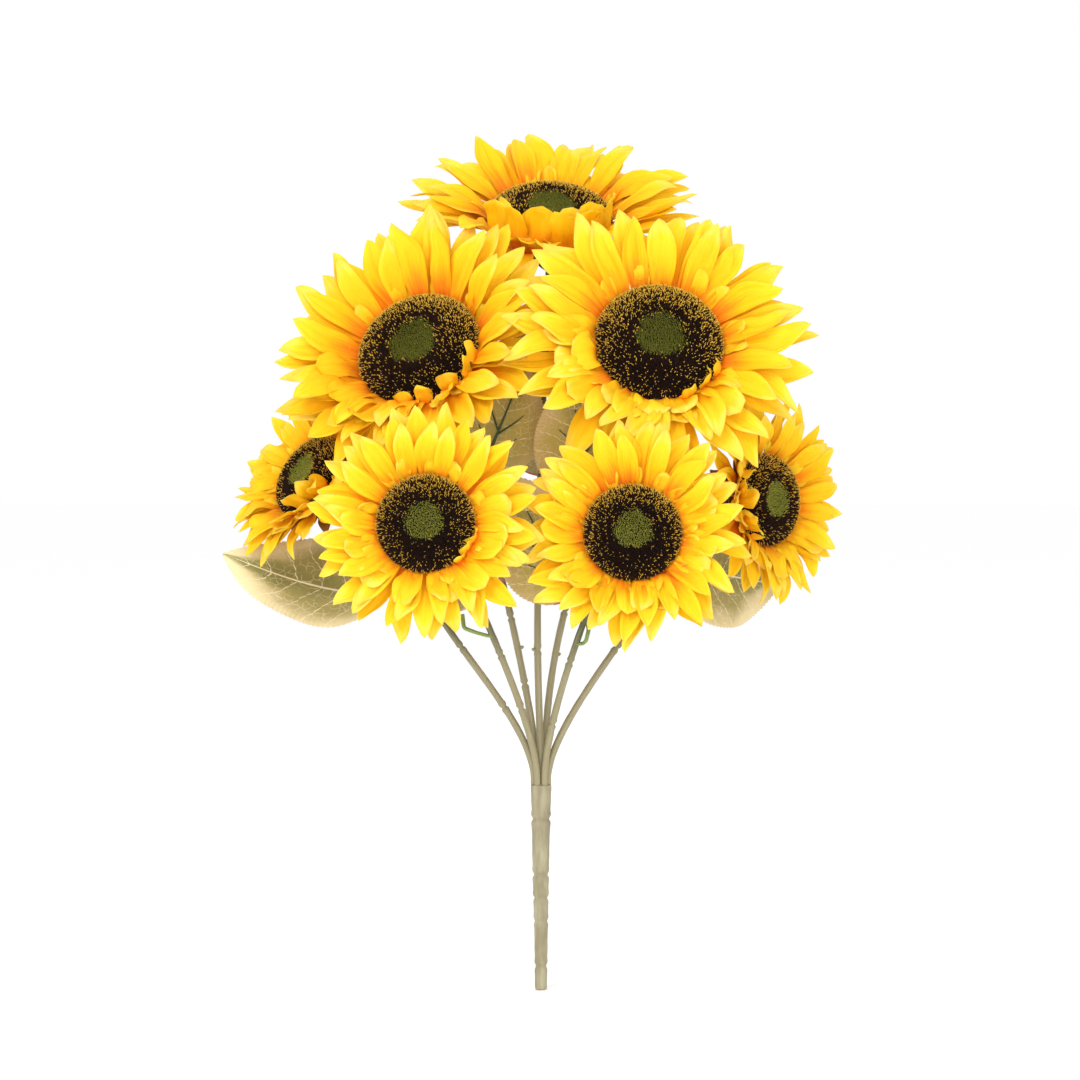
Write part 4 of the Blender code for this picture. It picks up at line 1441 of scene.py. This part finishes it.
@dataclass
class Bloom:
    """One bloom: its rings of petals, its calyx and its flocked disc."""

    plan: BloomPlan
    index: int

    def rows(self, cut: BladeCut, rings: tuple[Ring, ...], foot: float, longer: float = 1.0,
             **shape: object) -> tuple[BladeRow, ...]:
        """Returns rings of petals at the bloom's own size.

        Args:
            cut: the petals' cut.
            rings: their plans, from the back to the front.
            foot: distance of their feet from the axis, in shares of the disc's radius.
            longer: how many times longer than planned they are.
            shape: what else the rings share.

        Returns:
            The rings, ready to be laid.
        """
        size = self.plan.size
        span = (size.reach - size.disc_radius) * longer
        return tuple(
            BladeRow(cut, ring.count, span * ring.length, size.petal_half_width * ring.width,
                     size.disc_radius * foot, ring.height, ring.bends, ring.shift, press_share=ring.press,
                     **shape)
            for ring in rings
        )

    def petal_rows(self) -> tuple[BladeRow, ...]:
        """Returns the three rings of long petals."""
        count, cup = self.plan.size.petals, self.plan.cup
        rings = (
            Ring(count, 1.08, 1.00, -0.0026, (14, cup - 3, cup - 13), 0.0, press=0.15),
            Ring(count, 1.07, 1.00, -0.0018, (32, cup + 8, cup - 5), 0.5, press=0.70),
            Ring(count - 1, 0.94, 0.95, -0.0010, (48, cup + 19, cup + 3), 0.2),
        )
        return self.rows(PETAL_CUT, rings, 0.93, never=self.plan.ruff if self.plan.crowded else None)

    def ruff_rows(self) -> tuple[BladeRow, ...]:
        """Returns the rings of short rounded petals that crowd one side of the rim."""
        count, cup = self.plan.size.petals, self.plan.cup
        if self.plan.crowded:
            rings = (
                Ring(20, 0.70, 0.95, -0.0030, (44, 10, -28), 0.1),
                Ring(21, 0.64, 0.98, -0.0026, (82, 50, 4), 0.6),
                Ring(20, 0.63, 1.02, -0.0022, (96, 90, 66), 0.3),
                Ring(19, 0.60, 1.04, -0.0018, (102, 104, 98), 0.8),
            )
            return self.rows(LOBE_CUT, rings, 1.10, cup=0.24, wild=1.15, curl=-2.0, hook=0.06, crease=0.07,
                             only=self.plan.ruff)
        rings = (
            Ring(count - 3, 0.72, 1.18, -0.0004, (54, cup + 24, cup - 6), 0.7),
            Ring(count - 6, 0.48, 1.25, 0.0002, (64, cup + 30, cup - 4), 0.2),
        )
        longer = 1.32 if self.plan.shaded_ruff else 1.0
        return self.rows(ROUND_CUT, rings[: self.plan.size.ruff_rings], 0.95, longer, cup=0.16, wild=1.25,
                         curl=12.0, hook=0.06, crease=0.10, only=self.plan.ruff)

    def scoop_rows(self) -> tuple[BladeRow, ...]:
        """Returns the ring of short rounded petals that curl over the disc's rim."""
        ring = Ring(self.plan.size.petals - 4, 0.36, 0.58, 0.0002, (50, 36, 24), 0.35, press=0.2)
        return self.rows(ROUND_CUT, (ring,), 0.97, cup=0.22, wild=1.4, hook=0.06, crease=0.06)

    def lip_rows(self) -> tuple[BladeRow, ...]:
        """Returns the small folded petals that stand over the disc's rim, where the bloom has them."""
        if self.plan.lip is None:
            return ()
        ring = Ring(self.plan.size.petals, 0.38, 0.70, 0.0, (70, 88, 98), 0.5)
        return self.rows(PETAL_CUT, (ring,), 1.02, cup=0.45, wild=1.3, hook=0.08, crease=0.06,
                         only=self.plan.lip)

    def ruff_cloth(self) -> PetalCloth:
        """Returns the finish of the short rounded petals."""
        # Ruffs in shade take the lemon cloth painted orange-gold or amber as that shade.
        if not self.plan.shaded_ruff:
            return LEMON_CLOTH
        return SHADED_GOLD_CLOTH if self.plan.crowded else SHADED_AMBER_CLOTH

    def build(self, finishes: Finishes) -> None:
        """Makes and dresses the whole bloom."""
        chance = np.random.default_rng(SEED + 100 * self.index)
        batches = (
            ("petals", self.petal_rows(), self.plan.press, LEMON_CLOTH),
            ("ruff", self.ruff_rows(), None, self.ruff_cloth()),
            ("scoops", self.scoop_rows() + self.lip_rows(), self.plan.press, SHADED_SCOOP_CLOTH),
        )
        for label, rows, press, cloth in batches:
            arrays = MeshArrays()
            for row in rows:
                row.lay(arrays, chance, self.plan.placed(), press)
            piece = arrays.build(f"{label}_of_{self.plan.name}")
            hand_in(piece, finishes.get(cloth), Slot.PETALS, f"petals_{self.plan.name}")
        Calyx(self.plan).build(finishes, chance)
        disc = FlockedDisc(self.plan)
        disc.build_pad(finishes)
        disc.build_pile(finishes, chance)


@dataclass
class Stem:
    """One moulded stem, nipped at the joints of its mould, with the stumps of its side shoots."""

    plan: BloomPlan
    points: int = 170
    sides: int = 14
    nip_depth: float = 0.34  # shares of the radius
    nip_half: float = 0.0008  # half length of a nip
    shoulder: float = 0.16  # how much thicker the stem is beside a nip, in shares of the radius
    shoulder_off: float = 0.0021
    shoulder_half: float = 0.0011
    seam: float = 0.07  # height of the mould's seams, in shares of the radius
    nub_length: float = 0.0042
    nub_radius: float = 0.0013
    nub_swell: tuple[float, ...] = (1.1, 1.05, 0.95, 0.85, 0.88, 0.95, 0.72, 0.30)  # from the stem to the end

    def radii(self, path: np.ndarray, chance: np.random.Generator) -> np.ndarray:
        """Returns the radii of the stem's rings.

        Args:
            path: its middle line.
            chance: source of its unevenness.

        Returns:
            (points, sides) radii.
        """
        share = np.linspace(0, 1, self.points)
        even = np.interp(share, (0, STEM_THICK_AT, 1), (STEM_ROOT_RADIUS, STEM_THICK_RADIUS, STEM_TIP_RADIUS))
        reached = share * np.linalg.norm(np.diff(path, axis=0), axis=1).sum()
        factor = np.ones(self.points)
        for height in self.plan.nips:
            at = np.interp(height, path[:, 2], reached) if path[-1, 2] > height else reached[-1] * 0.5
            factor -= self.nip_depth * np.exp(-(((reached - at) / self.nip_half) ** 2))
            for side in (-1, 1):
                off = reached - at - side * self.shoulder_off
                factor += self.shoulder * np.exp(-((off / self.shoulder_half) ** 2))
        for _ in range(3):
            waves, phase = chance.uniform(5, 22), chance.uniform(0, 2 * math.pi)
            factor += 0.014 * np.sin(2 * math.pi * waves * share + phase)
        turn = 2 * math.pi * np.arange(self.sides) / self.sides
        seam = 1 + self.seam * (np.abs(np.cos(turn)) > 0.99)
        return even[:, None] * factor[:, None] * seam[None]

    def build(self, finishes: Finishes, chance: np.random.Generator) -> None:
        """Makes and dresses the stem.

        Args:
            finishes: the bush's finishes.
            chance: source of its unevenness.
        """
        path = stem_path(self.plan, self.points)
        arrays = MeshArrays()
        arrays.add(*tube(path, self.radii(path, chance), self.sides))
        for height, side in self.plan.nubs:
            start = np.array(point_at_height(path, height))
            side = math.radians(side)
            way = np.array((math.cos(side), math.sin(side), 0.35))
            way /= np.linalg.norm(way)
            line = start + way * np.linspace(0.0, self.nub_length, len(self.nub_swell))[:, None]
            radii = np.array(self.nub_swell) * self.nub_radius
            arrays.add(*tube(line, radii, 10, reach=(0.20, 0.26)))
        piece = arrays.build(f"moulded_stem_{self.plan.name}")
        hand_in(piece, finishes.get(STEM_FINISH), Slot.STEM, f"stem_{self.plan.name}")


@dataclass
class MainStem:
    """The moulded rod that the seven stems spring from."""

    step: float = 0.0012
    sides: int = 28
    neck_depth: float = 0.16  # shares of the radius
    neck_half: float = 0.0011  # half length of a neck
    shoulder: float = 0.05  # how much thicker the rod is beside a neck, in shares of the radius
    shoulder_off: float = 0.0030
    shoulder_half: float = 0.0016
    seam: float = 0.035  # height of the mould's seams, in shares of the radius

    def radius(self, height: float) -> float:
        """Returns the rod's radius at a height."""
        share = height / MAIN_HEIGHT
        radius = MAIN_FOOT_RADIUS + (MAIN_CROWN_RADIUS - MAIN_FOOT_RADIUS) * share**MAIN_TAPER_BEND
        factor = 1.0 + 0.012 * math.sin(height * 310) + 0.010 * math.sin(height * 733 + 1)
        for neck in MAIN_NECKS:
            factor -= self.neck_depth * math.exp(-(((height - neck) / self.neck_half) ** 2))
            for side in (-1, 1):
                off = height - neck - side * self.shoulder_off
                factor += self.shoulder * math.exp(-((off / self.shoulder_half) ** 2))
        return radius * factor

    def build(self, finishes: Finishes) -> None:
        """Makes and dresses the rod."""
        count = int(MAIN_HEIGHT / self.step)
        heights = [MAIN_HEIGHT * i / count for i in range(count + 1)]
        rings = [(self.radius(height), height) for height in heights]
        rings[0] = (rings[0][0] * 0.90, 0.0)
        rings.append((rings[-1][0] * 0.80, MAIN_HEIGHT + 0.0008))
        piece = TurnedCore(tuple(rings), self.sides).build("moulded_main_stem")
        points = np.empty(3 * len(piece.data.vertices), np.float32)
        piece.data.vertices.foreach_get("co", points)
        points = points.reshape(-1, 3)
        turn = np.arctan2(points[:, 1], points[:, 0])
        uneven = 0.02 * np.sin(3 * turn + points[:, 2] * 60)
        factor = 1 + self.seam * (np.abs(np.cos(turn)) > 0.985) + uneven
        points[:, :2] *= factor[:, None]
        piece.data.vertices.foreach_set("co", points.ravel())
        piece.data.update()
        hand_in(piece, finishes.get(MAIN_FINISH), Slot.STEM, "main_stem")


@dataclass
class Leaf:
    """One printed cloth leaf with a saw-toothed edge, and the moulded rib under it."""

    plan: LeafPlan
    path: np.ndarray
    teeth: int = 36
    columns: int = 17
    belly: tuple[float, float] = (0.52, 0.95)
    tooth: float = 0.0011  # depth of a tooth
    thickness: float = 0.0005
    edge_wave: float = 0.0022
    middle_wave: float = 0.0016
    quilt: float = 0.0009  # how far the cloth is puffed up between its side veins
    rib_share: float = 0.72  # share of the blade that the rib runs under
    rib_below: float = 0.0011
    side_ribs: tuple[tuple[float, int], ...] = ((0.13, -1), (0.13, 1), (0.34, -1), (0.34, 1))
    side_rib_below: float = 0.0009

    def surface(self, s: np.ndarray, t: np.ndarray, chance: np.random.Generator) -> np.ndarray:
        """Returns the blade's middle surface in the leaf's own frame.

        Args:
            s: (rows,) shares of the blade's length.
            t: (columns,) shares of its half width, -1 at one edge and 1 at the other.
            chance: source of its waves.

        Returns:
            (rows, columns, 3) places.
        """
        plan = self.plan
        droop, fold, twist = (math.radians(angle) for angle in (plan.droop, plan.fold, plan.twist))
        steps = np.diff(s, prepend=0.0) * plan.length
        bend = -droop * s
        along = plan.stalk + np.cumsum(np.cos(bend) * steps)
        lift = np.cumsum(np.sin(bend) * steps)
        half = np.maximum(plan.width / 2 * power_outline(s, self.belly), 0.0006)
        saw = (s * self.teeth) % 1.0 - 0.4
        phase = chance.uniform(0, 2 * math.pi, 3)
        edge = np.sign(t) * np.abs(t) ** 24
        teeth = self.tooth * saw * np.clip(half / 0.01, 0, 1)
        x = (half[:, None] * t[None] + teeth[:, None] * edge) * math.cos(fold)
        soft = np.sqrt(t**2 + 0.03) - math.sqrt(0.03)
        z = half[:, None] * soft[None] * math.sin(fold)
        edge_wave = np.sin(2 * math.pi * 1.6 * s[:, None] + phase[0] + 1.9 * (t > 0))
        z = z + self.edge_wave * edge_wave * t[None] ** 2
        z = z + self.middle_wave * np.sin(2 * math.pi * 0.8 * s[:, None] + phase[1]) * (1 - t[None] ** 2)
        swept = s[:, None] - VEIN_SWEEP * np.abs(t[None]) ** 1.25 + 0.02
        puff = np.abs(np.sin(math.pi * (swept * SIDE_VEINS - 0.5)))
        inside = np.sin(math.pi * np.clip(np.abs(t), 0.0, 1.0))[None] * (half / half.max())[:, None]
        z = z + self.quilt * (puff - 0.6) * inside
        turn = twist * s[:, None]
        across, raised = x * np.cos(turn) + z * np.sin(turn), z * np.cos(turn) - x * np.sin(turn)
        y = along[:, None] - np.sin(bend)[:, None] * raised
        return np.stack((across, y, lift[:, None] + np.cos(bend)[:, None] * raised), axis=-1)

    def build(self, finishes: Finishes, chance: np.random.Generator, ribs: MeshArrays) -> None:
        """Makes and dresses the blade, and adds its stalk and rib to the others'.

        Args:
            finishes: the bush's finishes.
            chance: source of its waves.
            ribs: what the stalk and the rib join.
        """
        notches = (np.arange(self.teeth)[:, None] + (0.0, 0.35, 0.70, 0.985)).ravel() / self.teeth
        s = np.concatenate([notches[1:], [0.999]])
        t = np.linspace(-1, 1, self.columns)
        grid = self.surface(s, t, chance)
        placed = self.plan.placed(self.path)
        arrays = MeshArrays()
        faces, rim = sheet_faces(len(s), len(t))
        points = move(sheet_points(grid[None], -self.thickness), placed)
        uvs = sheet_uvs(len(s), len(t), np.zeros(1), 1)
        arrays.add(points, [part[:, ::-1] for part in faces], uvs, rim)
        cloth = finishes.get(KHAKI_LEAF_CLOTH if self.plan.khaki else LEAF_CLOTH)
        hand_in(arrays.build(f"printed_leaf_{self.plan.name}"), cloth, Slot.LEAF, f"leaf_{self.plan.name}")
        self.lay_ribs(ribs, grid, s, placed, chance)

    def lay_ribs(self, ribs: MeshArrays, grid: np.ndarray, s: np.ndarray, placed: Matrix,
                 chance: np.random.Generator) -> None:
        """Adds the stalk, the rib under the blade and its side ribs.

        Args:
            ribs: what they join.
            grid: the blade's middle surface in the leaf's own frame.
            s: the rows' shares of the blade's length.
            placed: matrix from the leaf's frame to the row frame.
            chance: source of their unevenness.
        """
        middle = self.columns // 2
        under = grid[s < self.rib_share, middle][::2] - (0.0, 0.0, self.rib_below)
        stalk = np.linspace((0.0, -0.001, 0.0), under[0] - (0.0, 0.002, 0.0), 8)
        line = np.concatenate([stalk, under])
        shares = np.linspace(0, 1, len(line))
        tile = float(chance.integers(0, TILES))
        radii = np.interp(shares, (0.0, 0.10, 0.22, 0.30, 1.0), (0.0015, 0.0012, 0.0011, 0.0012, 0.0004))
        stretch = np.interp(np.arange(len(line)), (0, 8, 14, len(line) - 1), (0.0, 0.24, 0.33, 1.0))
        points, faces, uvs, rim = tube(move(line, placed), radii, 8, tile, TILES)
        uvs[0, :-2, 1] = np.repeat(stretch * 0.98 + 0.01, 8)
        ribs.add(points, faces, uvs, rim)
        for start, side in self.side_ribs:
            first = int(np.argmax(s > start + 0.03 * (side > 0)))
            last = int(np.argmax(s > start + 0.24))
            rows = np.arange(first, last, 2)
            across = np.linspace(0, 0.46, len(rows)) * middle
            low = np.floor(across).astype(int)
            part = (across - low)[:, None]
            near = grid[rows, middle + side * low]
            far = grid[rows, middle + side * np.minimum(low + 1, middle)]
            line = near + (far - near) * part - (0.0, 0.0, self.side_rib_below)
            radii = np.linspace(0.00075, 0.00025, len(line))
            points, faces, uvs, rim = tube(move(line, placed), radii, 6, tile, TILES)
            uvs[0, :, 1] = 0.5 + 0.45 * uvs[0, :, 1]
            ribs.add(points, faces, uvs, rim)


@dataclass(frozen=True)
class SideShoot:
    """A bare leaf stalk at a stem's front, given by its knees in the front view."""

    stem: str
    knees: tuple[tuple[float, float], ...]  # sideways and height, from its end to the stem
    radii: tuple[float, float] = (0.0014, 0.0012)
    shade: tuple[float, float] = (0.01, 0.08)  # where it lies on the ribs' map
    points: int = 24
    bow: float = 0.006  # how far its middle stands out in front

    def lay(self, ribs: MeshArrays, path: np.ndarray) -> None:
        """Adds the shoot to the ribs.

        Args:
            ribs: what it joins.
            path: points of the stem that it grows on.
        """
        knees = np.array(self.knees)
        foot = point_at_height(path, float(knees[-1, 1]))
        at = np.linspace(0, len(knees) - 1, self.points)
        flat = np.stack([np.interp(at, np.arange(len(knees)), knees[:, k]) for k in range(2)], axis=1)
        flat[1:-1] = (flat[:-2] + 2 * flat[1:-1] + flat[2:]) / 4
        depth = foot.y - 0.0010 - self.bow * np.sin(math.pi * np.linspace(0, 1, self.points)) ** 2
        line = np.stack((flat[:, 0], depth, flat[:, 1]), axis=1)
        line[-1, 0] = foot.x
        ribs.add(*tube(line, np.linspace(*self.radii, self.points), 8, 0.0, TILES, self.shade))


SIDE_SHOOTS = (
    SideShoot("lower_left", ((-0.0500, 0.2430), (-0.0488, 0.2345), (-0.0400, 0.2312), (-0.0330, 0.2290))),
    SideShoot("lower_right", ((0.0295, 0.2400), (0.0302, 0.2330), (0.0285, 0.2262), (0.0265, 0.2240))),
    SideShoot("upper_left", ((-0.0295, 0.2740), (-0.0262, 0.2680), (-0.0240, 0.2610)), (0.0028, 0.0010),
              (0.19, 0.26)),
    SideShoot("upper_right", ((0.0110, 0.2660), (0.0120, 0.2620), (0.0130, 0.2560)), (0.0024, 0.0009),
              (0.19, 0.26)),
)


# --------------------------------------------------------------------------------------------------------
# Studio
# --------------------------------------------------------------------------------------------------------


@dataclass(frozen=True)
class SoftBox:
    """One soft light."""

    name: str
    place: tuple[float, float, float]
    size: float
    power: float


@dataclass
class Studio:
    """A plain pale floor, soft light and the camera."""

    aim: tuple[float, float, float] = (-0.0006, 0.0, 0.2891)
    distance: float = 2.5
    elevation: float = 2.0  # degrees that the camera stands above its aim
    lens: float = 130.0  # millimetres
    sensor: float = 36.0  # millimetres
    lights: tuple[SoftBox, ...] = (
        SoftBox("key", (-0.9, -2.1, 1.7), 1.0, 25.0),
        SoftBox("front", (0.25, -2.75, 0.34), 1.1, 27.0),
        SoftBox("back", (0.6, 1.8, 1.6), 1.4, 8.0),
    )
    daylight: float = 1.0  # strength of the pale surroundings
    floor_size: float = 24.0
    floor_height: float = -0.0004

    def build_floor(self) -> None:
        """Makes the floor."""
        bpy.ops.object.select_all(action="DESELECT")
        bpy.ops.mesh.primitive_plane_add(size=self.floor_size, location=(0.0, 0.0, self.floor_height))
        floor = bpy.context.object
        floor.name = "floor"
        material = bpy.data.materials.new("pale_floor")
        material.use_nodes = True
        shader = material.node_tree.nodes["Principled BSDF"]
        shader.inputs["Base Color"].default_value = (0.99, 0.99, 0.99, 1.0)
        shader.inputs["Roughness"].default_value = 0.9
        shader.inputs["Specular IOR Level"].default_value = 0.0
        floor.data.materials.append(material)

    def build_lights(self) -> None:
        """Makes the soft lights and the pale surroundings."""
        for box in self.lights:
            bpy.ops.object.light_add(type="AREA", location=box.place)
            light = bpy.context.object
            light.name = f"light_{box.name}"
            light.data.shape = "DISK"
            light.data.size = box.size
            light.data.energy = box.power
            look = Vector(self.aim) - Vector(box.place)
            light.rotation_euler = look.to_track_quat("-Z", "Y").to_euler()
        world = bpy.data.worlds.new("studio")
        world.use_nodes = True
        background = world.node_tree.nodes["Background"]
        background.inputs["Color"].default_value = (1.0, 1.0, 1.0, 1.0)
        background.inputs["Strength"].default_value = self.daylight
        bpy.context.scene.world = world

    def build_camera(self) -> None:
        """Makes the camera in front of the bush, a little above its middle."""
        elevation = math.radians(self.elevation)
        away = Vector((0.0, -math.cos(elevation), math.sin(elevation))) * self.distance
        bpy.ops.object.camera_add(location=Vector(self.aim) + away)
        camera = bpy.context.object
        camera.name = "camera"
        camera.rotation_euler = (-away).to_track_quat("-Z", "Y").to_euler()
        camera.data.sensor_width = self.sensor
        camera.data.lens = self.lens
        camera.data.dof.use_dof = False
        bpy.context.scene.camera = camera

    def build(self) -> None:
        """Makes the whole studio."""
        self.build_floor()
        self.build_lights()
        self.build_camera()
        bpy.context.scene.view_settings.view_transform = "Standard"


def main() -> None:
    """Builds the bush piece by piece, then the studio round it."""
    logging.basicConfig(level=logging.INFO, format="%(message)s")
    finishes = Finishes()
    chance = np.random.default_rng(SEED)
    MainStem().build(finishes)
    for index, plan in enumerate(BLOOMS):
        Stem(plan).build(finishes, chance)
        Bloom(plan, index).build(finishes)
    paths = {plan.name: stem_path(plan, 200) for plan in BLOOMS}
    ribs = MeshArrays()
    for plan in LEAVES:
        Leaf(plan, paths[plan.stem]).build(finishes, chance, ribs)
    for shoot in SIDE_SHOOTS:
        shoot.lay(ribs, paths[shoot.stem])
    hand_in(ribs.build("leaf_ribs"), finishes.get(RIB_FINISH), Slot.LEAF)
    Studio().build()


if __name__ == "__main__":
    main()
